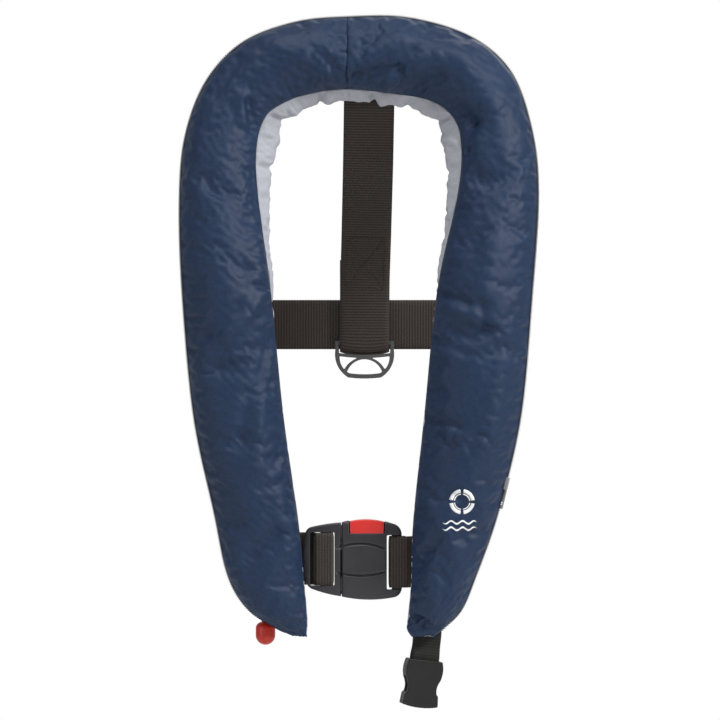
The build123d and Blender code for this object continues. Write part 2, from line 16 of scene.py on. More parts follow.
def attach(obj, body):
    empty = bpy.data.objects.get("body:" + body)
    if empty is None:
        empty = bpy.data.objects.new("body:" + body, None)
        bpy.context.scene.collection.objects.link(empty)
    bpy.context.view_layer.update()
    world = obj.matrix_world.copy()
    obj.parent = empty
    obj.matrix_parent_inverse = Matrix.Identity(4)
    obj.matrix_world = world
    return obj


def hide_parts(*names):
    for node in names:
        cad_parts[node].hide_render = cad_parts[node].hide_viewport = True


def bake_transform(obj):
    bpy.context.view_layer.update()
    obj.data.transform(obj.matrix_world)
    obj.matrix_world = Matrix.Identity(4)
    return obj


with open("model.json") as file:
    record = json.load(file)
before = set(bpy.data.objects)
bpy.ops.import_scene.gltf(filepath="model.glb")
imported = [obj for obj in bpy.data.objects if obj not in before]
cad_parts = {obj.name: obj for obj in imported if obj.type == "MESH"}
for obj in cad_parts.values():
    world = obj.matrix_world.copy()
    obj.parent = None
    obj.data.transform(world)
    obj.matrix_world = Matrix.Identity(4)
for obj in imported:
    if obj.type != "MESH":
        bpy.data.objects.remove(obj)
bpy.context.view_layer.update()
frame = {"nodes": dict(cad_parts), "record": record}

MM = 0.001
LOG = logging.getLogger("life_jacket")
Socket = bpy.types.NodeSocket
Point = tuple[float, float, float]
SPLINE_STEPS = 24  # samples on each span of a smooth path
CORNER_STEPS = 14  # samples on each corner of a webbing's route
STITCH_MM = 3.4  # thread on one face, from needle hole to needle hole
EDGE_MM = 0.25  # rounding of a CAD part's edges
FACES_ASKED = 800  # about how many faces tell which way a panel looks


class Slot(Enum):
    """The record's material slots: what each piece is made of."""

    COVER = "cover_fabric"
    LINING = "lining_fabric"
    ZIP = "zip_black"
    WEBBING = "webbing"
    BUCKLE = "buckle_plastic"
    RED = "red_plastic"
    CORD = "cord_red"
    BLADDER = "bladder_fabric"
    STEEL = "steel"
    INNER = "inner_plastic"
    TUBE = "tube_rubber"
    TABLET = "tablet"


# ------------------------------------------------------------------ small helpers
def linear(code: str) -> tuple[float, float, float, float]:
    """Turn an sRGB hex colour into linear light.

    Args:
        code: six hex digits, such as "2c3e57".

    Returns:
        Red, green and blue in linear light, and an alpha of 1.
    """
    parts = [int(code[i:i + 2], 16) / 255 for i in (0, 2, 4)]
    light = [c / 12.92 if c <= 0.04045 else ((c + 0.055) / 1.055) ** 2.4 for c in parts]
    return (light[0], light[1], light[2], 1.0)


def feed(tree: bpy.types.NodeTree, node: bpy.types.Node, inputs: dict) -> None:
    """Link or set a shader node's inputs.

    Args:
        tree: the material's node tree.
        node: the node.
        inputs: socket name or index to a plain value or to another node's output.
    """
    for name, value in inputs.items():
        if isinstance(value, Socket):
            tree.links.new(value, node.inputs[name])
        else:
            node.inputs[name].default_value = value


def add_node(tree: bpy.types.NodeTree, kind: str, inputs: dict | None = None, **settings) -> bpy.types.Node:
    """Add one shader node with its settings and links.

    Args:
        tree: the material's node tree.
        kind: the node's type name without the ShaderNode prefix.
        inputs: socket name or index to a plain value or to another node's output.
        settings: attributes to set on the node.

    Returns:
        The new node.
    """
    made = tree.nodes.new("ShaderNode" + kind)
    for name, value in settings.items():
        setattr(made, name, value)
    feed(tree, made, inputs or {})
    return made


def new_material(name: str) -> tuple[bpy.types.Material, bpy.types.NodeTree, bpy.types.Node]:
    """Make a node material.

    Args:
        name: what the real material is called.

    Returns:
        The material, its node tree and its shader.
    """
    material = bpy.data.materials.new(name)
    material.use_nodes = True
    return material, material.node_tree, material.node_tree.nodes["Principled BSDF"]


def unit(rows: np.ndarray) -> np.ndarray:
    """Scale every row to length 1."""
    return rows / np.maximum(np.linalg.norm(rows, axis=-1, keepdims=True), 1e-12)


def travel(points: np.ndarray) -> np.ndarray:
    """Distance along a line of points, from its start to each of them."""
    return np.concatenate([[0], np.cumsum(np.linalg.norm(np.diff(points[:, :3], axis=0), axis=1))])


def sample(rows: np.ndarray, far: np.ndarray, want: np.ndarray) -> np.ndarray:
    """Rows of values at the wanted distances, from rows that lie at the distances far."""
    return np.stack([np.interp(want, far, rows[:, k]) for k in range(rows.shape[1])], axis=1)


def spline(p0: np.ndarray, p1: np.ndarray, p2: np.ndarray, p3: np.ndarray, share: float) -> np.ndarray:
    """Curve that passes through four points in turn, at a share of the way from p1 to p2."""
    return 0.5 * (2 * p1 + (p2 - p0) * share + (2 * p0 - 5 * p1 + 4 * p2 - p3) * share ** 2
                  + (3 * p1 - p0 - 3 * p2 + p3) * share ** 3)


def smooth_path(points: np.ndarray, count: int) -> np.ndarray:
    """Sample a smooth curve through points at even distances.

    Args:
        points: the curve's points, one row each.
        count: how many samples to return.

    Returns:
        The samples, one row each.
    """
    pts = np.asarray(points, float)
    ends = np.vstack([2 * pts[0] - pts[1], pts, 2 * pts[-1] - pts[-2]])
    shares = np.linspace(0, 1, SPLINE_STEPS, endpoint=False)
    rows = [spline(*ends[i:i + 4], t) for i in range(len(pts) - 1) for t in shares]
    dense = np.array(rows + [pts[-1]])
    far = travel(dense)
    return sample(dense, far, np.linspace(0, far[-1], count))


def mesh_object(name: str, verts: np.ndarray, faces: list, material: bpy.types.Material,
                uvs: np.ndarray | None = None, smooth: bool = True) -> bpy.types.Object:
    """Make a mesh object in the scene.

    Args:
        name: the piece's name.
        verts: vertex positions in metres, one row each.
        faces: vertex indices of each face.
        material: the finish of every face.
        uvs: one (u, v) for each vertex, in metres along the cloth.
        smooth: whether the faces are shaded smooth.

    Returns:
        The new object.
    """
    mesh = bpy.data.meshes.new(name)
    mesh.from_pydata([tuple(v) for v in verts], [], faces)
    mesh.materials.append(material)
    if uvs is not None:
        layer = mesh.uv_layers.new(name="cloth")
        corner = np.zeros(len(mesh.loops), np.int32)
        mesh.loops.foreach_get("vertex_index", corner)
        layer.data.foreach_set("uv", np.asarray(uvs, np.float32)[corner].ravel())
    mesh.update()
    made = bpy.data.objects.new(name, mesh)
    shade_smooth(made, smooth)
    bpy.context.scene.collection.objects.link(made)
    return made


def grid_faces(rows: int, columns: int, wrap: bool = False) -> list[tuple[int, ...]]:
    """Quads of a grid of rows by columns, closed across the columns when wrap is true.

    Args:
        rows: how many rows of points.
        columns: how many points in a row.
        wrap: whether the last column joins the first.

    Returns:
        Four vertex indices for each face.
    """
    last = columns if wrap else columns - 1
    return [
        (r * columns + c, r * columns + (c + 1) % columns, (r + 1) * columns + (c + 1) % columns,
         (r + 1) * columns + c)
        for r in range(rows - 1)
        for c in range(last)
    ]


def face_outwards(made: bpy.types.Object) -> None:
    """Turn every face of a closed mesh to look outwards.

    Args:
        made: the mesh object.
    """
    work = bmesh.new()
    work.from_mesh(made.data)
    bmesh.ops.recalc_face_normals(work, faces=work.faces)
    work.to_mesh(made.data)
    work.free()


def apply_modifiers(made: bpy.types.Object) -> None:
    """Replace the object's mesh with what its modifiers make of it.

    Args:
        made: the mesh object.
    """
    graph = bpy.context.evaluated_depsgraph_get()
    result = bpy.data.meshes.new_from_object(made.evaluated_get(graph), depsgraph=graph)
    old = made.data
    made.modifiers.clear()
    made.data = result
    bpy.data.meshes.remove(old)


def shade_smooth(made: bpy.types.Object, smooth: bool = True) -> None:
    """Shade every face smooth, or every face flat."""
    made.data.polygons.foreach_set("use_smooth", [smooth] * len(made.data.polygons))


def place(made: bpy.types.Object, body: str, slot: Slot, *nodes: str) -> bpy.types.Object:
    """Let a piece ride on a body and stand for CAD nodes.

    Args:
        made: the mesh object.
        body: the CAD body it rides on.
        slot: its material slot; not used.
        nodes: the CAD nodes it stands for.

    Returns:
        The same piece.
    """
    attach(made, body)
    if nodes:
        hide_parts(*nodes)
    LOG.info("%s: %d vertices on %s", made.name, len(made.data.vertices), body)
    return made


# ------------------------------------------------------------------ finishes
@dataclass(frozen=True)
class WovenPolyester:
    """600 denier plain-woven polyester, dyed and coated: a fine grid of threads with a soft mottled sheen."""

    name: str
    colour: str
    light: str
    thread_mm: float = 1.5
    slub_mm: float = 10 / 9
    mottle_mm: float = 500 / 7
    roughness: float = 0.5
    sheen: float = 0.03
    bump_mm: float = 0.12

    def build(self) -> bpy.types.Material:
        """Make the material.

        The real 0.5 mm threads are drawn three times as coarse, and their uneven thickness twice as coarse,
        so that they show. The mottle is as wide as the patches that handling leaves on coated cloth.

        Returns:
            The cloth.
        """
        material, tree, shader = new_material(self.name)
        place_at = add_node(tree, "TexCoord").outputs["Object"]
        pitch = 2 * math.pi / (self.thread_mm * MM)
        parts = add_node(tree, "SeparateXYZ", {0: place_at})
        waves = []
        for axis in ("X", "Z"):
            turned = add_node(tree, "Math", {0: parts.outputs[axis], 1: pitch}, operation="MULTIPLY")
            waves.append(add_node(tree, "Math", {0: turned.outputs[0]}, operation="SINE").outputs[0])
        weave = add_node(tree, "Math", {0: waves[0], 1: waves[1]}, operation="MULTIPLY").outputs[0]
        slub, mottle = (
            add_node(tree, "TexNoise", {"Vector": place_at, "Scale": 1 / (size * MM), "Detail": 3.0,
                                        "Roughness": ragged})
            for size, ragged in ((self.slub_mm, 0.75), (self.mottle_mm, 0.5)))
        mixed = add_node(tree, "Math", {0: slub.outputs["Fac"], 1: 0.86}, operation="MULTIPLY").outputs[0]
        for part, share in ((mottle.outputs["Fac"], 0.14), (weave, 0.04)):
            mixed = add_node(tree, "Math", {0: part, 1: share, 2: mixed}, operation="MULTIPLY_ADD").outputs[0]
        ramp = add_node(tree, "ValToRGB", {0: mixed})
        for stop, at, code in zip(ramp.color_ramp.elements, (0.3, 0.7), (self.colour, self.light)):
            stop.position, stop.color = at, linear(code)
        rough = add_node(tree, "MapRange", {"Value": mottle.outputs["Fac"], "From Min": 0.3, "From Max": 0.7,
                                            "To Min": self.roughness - 0.04, "To Max": self.roughness + 0.05})
        height = add_node(tree, "Math", {0: slub.outputs["Fac"], 1: 0.9, 2: weave}, operation="MULTIPLY_ADD")
        bump = add_node(tree, "Bump", {"Height": height.outputs[0], "Strength": 0.5,
                                       "Distance": self.bump_mm * MM})
        feed(tree, shader, {"Base Color": ramp.outputs[0], "Roughness": rough.outputs[0],
                            "Normal": bump.outputs[0], "Sheen Weight": self.sheen, "Sheen Roughness": 0.5,
                            "Specular IOR Level": 0.32, "IOR": 1.5})
        return material


@dataclass(frozen=True)
class PolyesterWebbing:
    """Ribbed polyester webbing: crosswise ribs in the mesh, crossed by the fine warp threads drawn here."""

    name: str
    colour: str
    light: str
    warp_mm: float = 1.3
    rib_mm: float = 2.5
    fuzz_mm: float = 10 / 9
    roughness: float = 0.72

    def build(self) -> bpy.types.Material:
        """Make the material from the cloth coordinates, u along the webbing and v across it, in metres.

        The real 0.7 mm warp threads and the fuzz of their fibres are drawn twice as coarse so that they show.

        Returns:
            The webbing.
        """
        material, tree, shader = new_material(self.name)
        cloth = add_node(tree, "UVMap", uv_map="cloth").outputs[0]
        parts = add_node(tree, "SeparateXYZ", {0: cloth})
        along = add_node(tree, "Math", {0: parts.outputs["X"], 1: math.pi / (self.rib_mm * MM)},
                         operation="MULTIPLY")
        across = add_node(tree, "Math", {0: parts.outputs["Y"], 1: 2 * math.pi / (self.warp_mm * MM),
                                         2: along.outputs[0]}, operation="MULTIPLY_ADD")
        warp = add_node(tree, "Math", {0: across.outputs[0]}, operation="SINE").outputs[0]
        rib = add_node(tree, "Math", {0: along.outputs[0], 1: 2.0}, operation="MULTIPLY")
        rib = add_node(tree, "Math", {0: rib.outputs[0]}, operation="COSINE").outputs[0]
        fuzz = add_node(tree, "TexNoise", {"Vector": cloth, "Scale": 1 / (self.fuzz_mm * MM), "Detail": 4.0,
                                           "Roughness": 0.75})
        tone = add_node(tree, "Math", {0: warp, 1: 0.16, 2: fuzz.outputs["Fac"]}, operation="MULTIPLY_ADD")
        tone = add_node(tree, "Math", {0: rib, 1: 0.2, 2: tone.outputs[0]}, operation="MULTIPLY_ADD")
        ramp = add_node(tree, "ValToRGB", {0: tone.outputs[0]})
        for stop, at, code in zip(ramp.color_ramp.elements, (0.25, 0.85), (self.colour, self.light)):
            stop.position, stop.color = at, linear(code)
        bump = add_node(tree, "Bump", {"Height": tone.outputs[0], "Strength": 0.7, "Distance": 0.25 * MM})
        feed(tree, shader, {"Base Color": ramp.outputs[0], "Normal": bump.outputs[0],
                            "Roughness": self.roughness, "Sheen Weight": 0.12, "Sheen Roughness": 0.4,
                            "Specular IOR Level": 0.35})
        return material


@dataclass(frozen=True)
class MouldedPlastic:
    """Injection-moulded plastic with a fine spark-eroded grain that breaks up its reflections."""

    name: str
    colour: str
    # lighter colour, for the random clouds and for the painted highlight on convex edges
    cloud_and_highlight_tone: str
    roughness: float = 0.42
    grain_mm: float = 0.6
    cloud_mm: float = 200 / 11
    bump_mm: float = 0.035
    coat: float = 0.0

    def build(self) -> bpy.types.Material:
        """Make the material.

        The real 0.1 mm grain is drawn six times as coarse so that it shows. The clouds are as wide as the
        patches that hands leave on a moulding. The sharpest convex edges are painted lighter, a painted
        highlight.

        Returns:
            The plastic.
        """
        material, tree, shader = new_material(self.name)
        at = add_node(tree, "TexCoord").outputs["Object"]
        grain = add_node(tree, "TexNoise", {"Vector": at, "Scale": 1 / (self.grain_mm * MM), "Detail": 2.0})
        cloud = add_node(tree, "TexNoise", {"Vector": at, "Scale": 1 / (self.cloud_mm * MM), "Detail": 4.0,
                                            "Roughness": 0.6})
        # painted highlight: the sharpest convex edges take the lighter colour
        edge = add_node(tree, "NewGeometry").outputs["Pointiness"]
        painted_edge_highlight = add_node(tree, "MapRange", {"Value": edge, "From Min": 0.52, "From Max": 0.62})
        tone = add_node(tree, "Math", {0: cloud.outputs["Fac"], 1: 0.35, 2: painted_edge_highlight.outputs[0]},
                        operation="MULTIPLY_ADD")
        ramp = add_node(tree, "ValToRGB", {0: tone.outputs[0]})
        for stop, code in zip(ramp.color_ramp.elements, (self.colour, self.cloud_and_highlight_tone)):
            stop.color = linear(code)
        rough = add_node(tree, "MapRange", {"Value": cloud.outputs["Fac"], "From Min": 0.3, "From Max": 0.7,
                                            "To Min": self.roughness - 0.05, "To Max": self.roughness + 0.07})
        bump = add_node(tree, "Bump", {"Height": grain.outputs["Fac"], "Strength": 0.4,
                                       "Distance": self.bump_mm * MM})
        feed(tree, shader, {"Base Color": ramp.outputs[0], "Roughness": rough.outputs[0],
                            "Normal": bump.outputs[0], "Coat Weight": self.coat, "IOR": 1.48})
        return material


@dataclass(frozen=True)
class PlatedSteel:
    """Nickel-plated steel, barrel finished: bright with fine random scratches."""

    name: str
    colour: str = "b9bbbe"
    scratch_mm: float = 10 / 7
    roughness: float = 0.3

    def build(self) -> bpy.types.Material:
        """Make the material, with its scratches as far apart as barrel finishing leaves them.

        Returns:
            The steel.
        """
        material, tree, shader = new_material(self.name)
        at = add_node(tree, "TexCoord").outputs["Object"]
        scratch = add_node(tree, "TexNoise", {"Vector": at, "Scale": 1 / (self.scratch_mm * MM),
                                              "Detail": 5.0, "Distortion": 1.2})
        rough = add_node(tree, "MapRange", {"Value": scratch.outputs["Fac"], "To Min": self.roughness - 0.1,
                                            "To Max": self.roughness + 0.15})
        bump = add_node(tree, "Bump", {"Height": scratch.outputs["Fac"], "Strength": 0.2,
                                       "Distance": 0.02 * MM})
        feed(tree, shader, {"Roughness": rough.outputs[0], "Normal": bump.outputs[0],
                            "Base Color": linear(self.colour), "Metallic": 1.0})
        return material


class Finishes:
    """Every finish of the jacket, made once."""

    def __init__(self) -> None:
        """Make the materials."""
        self.cover = WovenPolyester("navy_coated_polyester", "0c1d37", "1c3759").build()
        self.lining = WovenPolyester("grey_polyester_lining", "9c9ea6", "b3b5bd", roughness=0.7).build()
        self.webbing = PolyesterWebbing("black_polyester_webbing", "1f1a17", "4c433c").build()
        self.crotch_webbing = PolyesterWebbing("black_crotch_webbing", "0c0c0b", "232120").build()
        self.buckle = MouldedPlastic("black_acetal", "2b2b2f", "45454b", roughness=0.38).build()
        self.crotch_plastic = MouldedPlastic("black_nylon_buckle", "0d0d0d", "191919", roughness=0.4).build()
        self.button = MouldedPlastic("red_acetal", "d82a26", "e8453a", roughness=0.36, coat=0.15).build()
        self.ring = MouldedPlastic("grey_acetal", "4a4a4a", "6a6a6a", roughness=0.4).build()
        self.toggle = MouldedPlastic("red_soft_vinyl", "b4200f", "d2321a", roughness=0.36).build()
        self.zip = MouldedPlastic("black_nylon_coil", "101010", "2c2c2e", roughness=0.45).build()
        self.thread = MouldedPlastic("black_bonded_thread", "1c1a19", "35302d", roughness=0.6).build()
        self.print_white = MouldedPlastic("white_screen_print", "e6e8ea", "f4f5f6", roughness=0.55).build()
        self.bladder = WovenPolyester("yellow_coated_nylon", "d8a414", "efc22e", roughness=0.5).build()
        self.steel = PlatedSteel("nickel_plated_steel").build()
        self.inner = MouldedPlastic("charcoal_glass_filled_nylon", "29292b", "434347", roughness=0.5).build()
        self.rubber = MouldedPlastic("black_rubber_tube", "151515", "2b2b2b", roughness=0.75).build()
        self.tablet = MouldedPlastic("white_pressed_tablet", "d9d9d4", "efefe9", roughness=0.85).build()
        self.cord = PolyesterWebbing("red_braided_cord", "8c1a12", "c23a2b", warp_mm=0.8).build()


# ------------------------------------------------------------------ the padded horseshoe
@dataclass(frozen=True)
class Station:
    """One crossing of the horseshoe, in millimetres: zip edge and neck seam as (x, z), bulges and lip."""

    outer: tuple[float, float]
    seam: tuple[float, float]
    front: float
    back: float
    lip: float


STATIONS = [Station(*row) for row in (
    ((-64, -460.5), (-45.5, -463.5), 1.2, 1.0, 0.0),
    ((-72, -457), (-45.5, -460), 5, 4, -0.5),
    ((-98, -440), (-45, -447), 15, 9, -1.5),
    ((-116, -410), (-48, -415), 23, 13, -2),
    ((-128, -355), (-53, -362), 27, 15, -2),
    ((-146, -270), (-66, -270), 29, 17, -2),
    ((-156, -162), (-77, -162), 30, 20, 3),
    ((-159, -75), (-89, -74), 30, 22, 13),
    ((-154, -20), (-90, -32), 30, 23, 19),
    ((-136, 27), (-82, -6), 30, 23, 17),
    ((-104, 61), (-62, 8), 30, 23, 14),
    ((-58, 79), (-38, 15), 30, 23, 12),
    ((-10.5, 84), (-10.5, 18), 29, 23, 12),
    ((45, 83), (30, 14), 30, 23, 12),
    ((100, 66), (63, 8), 30, 23, 13),
    ((136, 34), (83, -7), 30, 23, 16),
    ((154, -18), (90, -31), 30, 23, 17),
    ((159, -75), (87, -74), 30, 22, 12),
    ((153, -162), (68.5, -160), 30, 20, 2),
    ((143, -270), (57, -270), 29, 17, -2),
    ((123, -355), (47.5, -361), 27, 15, -2),
    ((103, -412), (45.5, -416), 23, 13, -2),
    ((91, -440), (42.5, -448), 15, 9, -1.5),
    ((76, -456), (42, -457), 7, 5, -0.5),
    ((68, -463), (46, -463.5), 2.4, 1.6, 0.0),
)]


@dataclass(frozen=True)
class Fold:
    """A soft ridge seen from the front, or a crease if its height is below zero, in millimetres."""

    start: tuple[float, float]
    end: tuple[float, float]
    height: float
    width: float
    depth_scale: float = 1.5

    def lift(self, points: np.ndarray) -> np.ndarray:
        """Find how far the fold lifts each point.

        Args:
            points: (x, z) points in millimetres.

        Returns:
            One height for each point, in millimetres.
        """
        start, run = np.array(self.start), np.array(self.end) - np.array(self.start)
        share = np.clip((points - start) @ run / (run @ run), 0, 1)
        away = np.linalg.norm(points - start - share[..., None] * run, axis=-1)
        return self.depth_scale * self.height * np.exp(-((away / self.width) ** 2))


COVER_FOLDS = [Fold(*row) for row in (
    # collar, right of the centre seam
    ((4, 42), (37, 62), 2.6, 9), ((-2, 29), (35, 34), -2.4, 5), ((35, 34), (48, 50), -2.0, 5),
    ((21, 21), (68, 46), 2.6, 8), ((47, 13), (72, 27), -2.4, 5), ((83, 50), (116, 3), 2.4, 13),
    ((116, 3), (128, -39), 2.4, 13), ((89, 0), (101, -12), -2.8, 5), ((101, -12), (94, -39), -2.4, 5),
    ((101, -26), (114, -55), 2.0, 9), ((60, 70), (92, 60), -1.6, 7),
    # collar, left
    ((-97, 5), (-94, -18), -2.8, 4.5), ((-103, 9), (-100, -12), 2.0, 6), ((-33, 27), (-9, 35), 1.8, 7),
    ((-107, 40), (-126, 13), -1.8, 9), ((-70, 20), (-45, 33), -1.4, 7), ((-80, 62), (-50, 44), 1.4, 9),
    # left lobe
    ((-90, -60), (-94, -100), -1.3, 8), ((-90, -121), (-88, -147), 1.8, 8),
    ((-83, -165), (-115, -199), 2.8, 7), ((-104, -178), (-131, -199), -2.0, 7),
    ((-76, -197), (-86, -236), -1.6, 6), ((-86, -250), (-88, -314), 2.2, 9),
    ((-95, -254), (-104, -298), -1.6, 7), ((-76, -325), (-58, -382), 1.8, 8),
    ((-135, -230), (-128, -268), 1.2, 9), ((-100, -360), (-92, -405), -1.0, 9),
    # right lobe
    ((116, -121), (109, -163), 2.2, 10), ((70, -163), (93, -172), -2.6, 5),
    ((82, -177), (109, -186), 2.0, 7), ((107, -174), (109, -195), -2.0, 5),
    ((68, -204), (91, -215), -2.0, 6), ((59, -275), (84, -279), -2.2, 5),
    ((80, -287), (104, -296), 1.5, 7), ((125, -222), (114, -291), 1.8, 10),
    ((52, -400), (68, -378), -1.8, 6), ((66, -392), (62, -430), 1.6, 8), ((43, -445), (57, -451), -2.6, 4),
)]
LINING_FOLDS = [Fold(*row) for row in (
    ((-31, 18), (-34, 6), -2.2, 2.6), ((-25, 17), (-27, 6), 1.2, 4), ((12, 16), (14, 5), -2.4, 2.6),
    ((22, 14), (19, 4), 1.6, 3.5), ((46, 8), (42, 0), -1.8, 3), ((-79, -6), (-62, -12), -2.2, 3),
    ((-82, -20), (-68, -30), 1.5, 4), ((-88, -50), (-72, -52), -1.6, 3), ((84, -4), (66, -12), -2.2, 3),
    ((88, -30), (72, -26), 1.4, 4), ((88, -52), (72, -58), -1.6, 3), ((-60, 0), (-50, -8), 1.4, 4),
    ((64, 2), (54, -6), 1.4, 4), ((-84, -110), (-76, -120), -1.2, 4), ((80, -100), (72, -112), -1.2, 4),
)]


@dataclass
class PaddedHorseshoe:
    """The zipped cover: navy front in two halves, grey lining behind, pulled in at its seams."""

    rows: int = 300
    front_columns: int = 20
    back_columns: int = 22
    finer: int = 3
    fabric_out: float = 1.6
    front_fullness: float = 0.62
    back_fullness: float = 0.6
    ring_steps: int = 40
    collar_back: float = 45.0
    collar_rise: float = 230.0
    lobe_top_z: float = -190.0
    seam_x: float = -10.5
    seam_dip: float = 1.2
    seam_rows: float = 1.1
    seam_hold: float = 0.75
    slack: float = 0.94
    pressure: float = 4.0
    frames: int = 20
    spare_cloth: float = 0.02
    rumple_mm: float = 0.25
    cap_mm: float = 7.0
    cloth_mm: float = 0.8
    cover_gather: float = 0.3
    lining_gather: float = 0.12
    gather_lengths: tuple[float, ...] = (9.0, 14.0, 23.0, 37.0)
    gather_reach: float = 7.0
    gather_drift: float = 61.0
    seed: int = 11
    edge_hold: float = 5.0
    table: np.ndarray = field(init=False)

    def depth(self, z: float) -> float:
        """How far back the middle lies at height z."""
        rise = min(max((z - self.lobe_top_z) / self.collar_rise, 0), 1)
        return self.collar_back * rise * rise * (3 - 2 * rise)

    def measure(self) -> None:
        """Sample the stations evenly along the horseshoe."""
        table = np.array([
            [(s.outer[0] + s.seam[0]) / 2, (s.outer[1] + s.seam[1]) / 2, 0.0, *s.outer, *s.seam,
             s.front, s.back, s.lip]
            for s in STATIONS
        ])
        self.table = smooth_path(table, self.rows)

    def edge(self, out: float, depth: float = 0.0) -> np.ndarray:
        """Line that runs along the zip edge.

        Args:
            out: distance inside the outermost line, in millimetres.
            depth: distance behind the middle.

        Returns:
            Points in metres, then the outward directions.
        """
        outer, seam = self.table[:, 3:5], self.table[:, 5:7]
        run = unit(outer - seam)
        middle = np.array([self.depth(z) for z in (outer[:, 1] + seam[:, 1]) / 2])
        flat = outer - run * out
        points = np.stack([flat[:, 0], middle + depth, flat[:, 1]], axis=1) * MM
        return np.stack([points, np.stack([run[:, 0], 0 * middle, run[:, 1]], axis=1)])

    def ring(self, values: np.ndarray) -> np.ndarray:
        """Points round one section: neck seam, over the front to the zip, and round the back.

        Args:
            values: one row of the table.

        Returns:
            One (across, depth) row for each column.
        """
        width = math.hypot(values[3] - values[5], values[4] - values[6]) - self.fabric_out
        front, back, lip = values[7], values[8], values[9]
        tuck = min(1 + 0.6 * max(lip, 0), 0.4 * front + 0.6)
        t = np.linspace(0, 1, self.front_columns)
        bulge = np.sin(np.pi * t) ** self.front_fullness
        over = np.stack([width * t, -(tuck * (1 - t) + (front - 0.45 * tuck) * bulge)], axis=1)
        u = np.linspace(0, 1, self.ring_steps) ** 1.25  # closer together at the neck
        behind = np.stack([-lip + (width + lip) * u, back * np.sin(np.pi * u) ** self.back_fullness], axis=1)
        neck = np.array([[0, -tuck], [-0.55 * lip, -0.72 * tuck], [-0.92 * lip, -0.3 * tuck]])
        route = smooth_path(np.vstack([neck, behind[1:]]), self.back_columns + 1)
        return np.vstack([over, route[::-1][1:-1]])

    def sections(self) -> np.ndarray:
        """The whole horseshoe as rows by columns of points, in metres, a little slack.

        Returns:
            One (x, y, z) point for each row and column.
        """
        grid = []
        for values in self.table:
            run = unit(np.array([values[3] - values[5], 0, values[4] - values[6]]))
            start = np.array([values[5], self.depth((values[4] + values[6]) / 2), values[6]])
            ring = self.ring(values) * np.array([1, self.slack])
            grid.append(start + ring[:, :1] * run + ring[:, 1:] * np.array([0, 1, 0]))
        return np.array(grid) * MM

    @property
    def centre_row(self) -> int:
        """Row of the seam at the back of the neck."""
        below_collar = (self.table[:, 1] < 0) * 1e3
        return int(np.argmin(np.abs(self.table[:, 0] - self.seam_x) + below_collar))

    def simulate(self, grid: np.ndarray, material: bpy.types.Material) -> np.ndarray:
        """Let the closed cover swell against its seams as cloth, and read its points back.

        Args:
            grid: points of the slack cover.
            material: any finish, for the temporary mesh.

        Returns:
            The swollen points, none further than the cap from where it started.
        """
        rng = np.random.default_rng(self.seed)
        rows, columns = grid.shape[:2]
        last = (rows - 1) * columns
        faces = grid_faces(rows, columns, wrap=True)
        faces += [(rows * columns, (c + 1) % columns, c) for c in range(columns)]
        faces += [(rows * columns + 1, last + c, last + (c + 1) % columns) for c in range(columns)]
        start = grid + rng.normal(0, self.rumple_mm * MM, grid.shape)
        sewn = (0, self.front_columns - 1)
        start[:, sewn] = grid[:, sewn]
        points = np.vstack([start.reshape(-1, 3), grid[0].mean(0), grid[-1].mean(0)])
        made = mesh_object("cloth_blank", points, faces, material)
        face_outwards(made)
        group = made.vertex_groups.new(name="sewn")
        fixed = {r * columns + c for r in range(rows) for c in sewn}
        fixed |= set(range(columns)) | set(range(last, rows * columns + 2))
        group.add(sorted(fixed), 1.0, "REPLACE")
        seam = [self.centre_row * columns + c for c in range(1, self.front_columns - 1)]
        group.add(seam, self.seam_hold, "REPLACE")
        cloth = made.modifiers.new("cloth", "CLOTH")
        coated_polyester = {
            "quality": 5, "mass": 0.25, "tension_stiffness": 25, "compression_stiffness": 25,
            "shear_stiffness": 8, "bending_stiffness": 5.0, "use_pressure": True,
            "uniform_pressure_force": self.pressure, "shrink_min": -self.spare_cloth,
            "vertex_group_mass": group.name,
        }
        for name, value in coated_polyester.items():
            setattr(cloth.settings, name, value)
        cloth.settings.effector_weights.gravity = 0.0
        cloth.collision_settings.use_collision = False
        for step in range(1, self.frames + 1):
            bpy.context.scene.frame_set(step)
        result = made.evaluated_get(bpy.context.evaluated_depsgraph_get()).data
        out = np.zeros(len(result.vertices) * 3, np.float32)
        result.vertices.foreach_get("co", out)
        bpy.context.scene.frame_set(1)
        bpy.data.objects.remove(made)
        moved = out.reshape(-1, 3)[:rows * columns].reshape(rows, columns, 3).astype(float) - grid
        far = np.linalg.norm(moved, axis=2, keepdims=True)
        return grid + moved * np.minimum(1, self.cap_mm * MM / np.maximum(far, 1e-9))

    def refine(self, grid: np.ndarray) -> np.ndarray:
        """Smooth curve through the grid's points in both directions, several times as fine.

        Args:
            grid: rows by columns of points.

        Returns:
            The finer grid.
        """
        for axis in (0, 1):
            rows = np.moveaxis(grid, axis, 0)
            padded = np.concatenate([[2 * rows[0] - rows[1]], rows, [2 * rows[-1] - rows[-2]]])
            p0, p1, p2, p3 = padded[:-3], padded[1:-2], padded[2:-1], padded[3:]
            parts = [spline(p0, p1, p2, p3, t) for t in np.arange(self.finer) / self.finer]
            fine = np.stack(parts, axis=1).reshape(-1, *rows.shape[1:])
            grid = np.moveaxis(np.concatenate([fine, rows[-1:]]), 0, axis)
        return grid

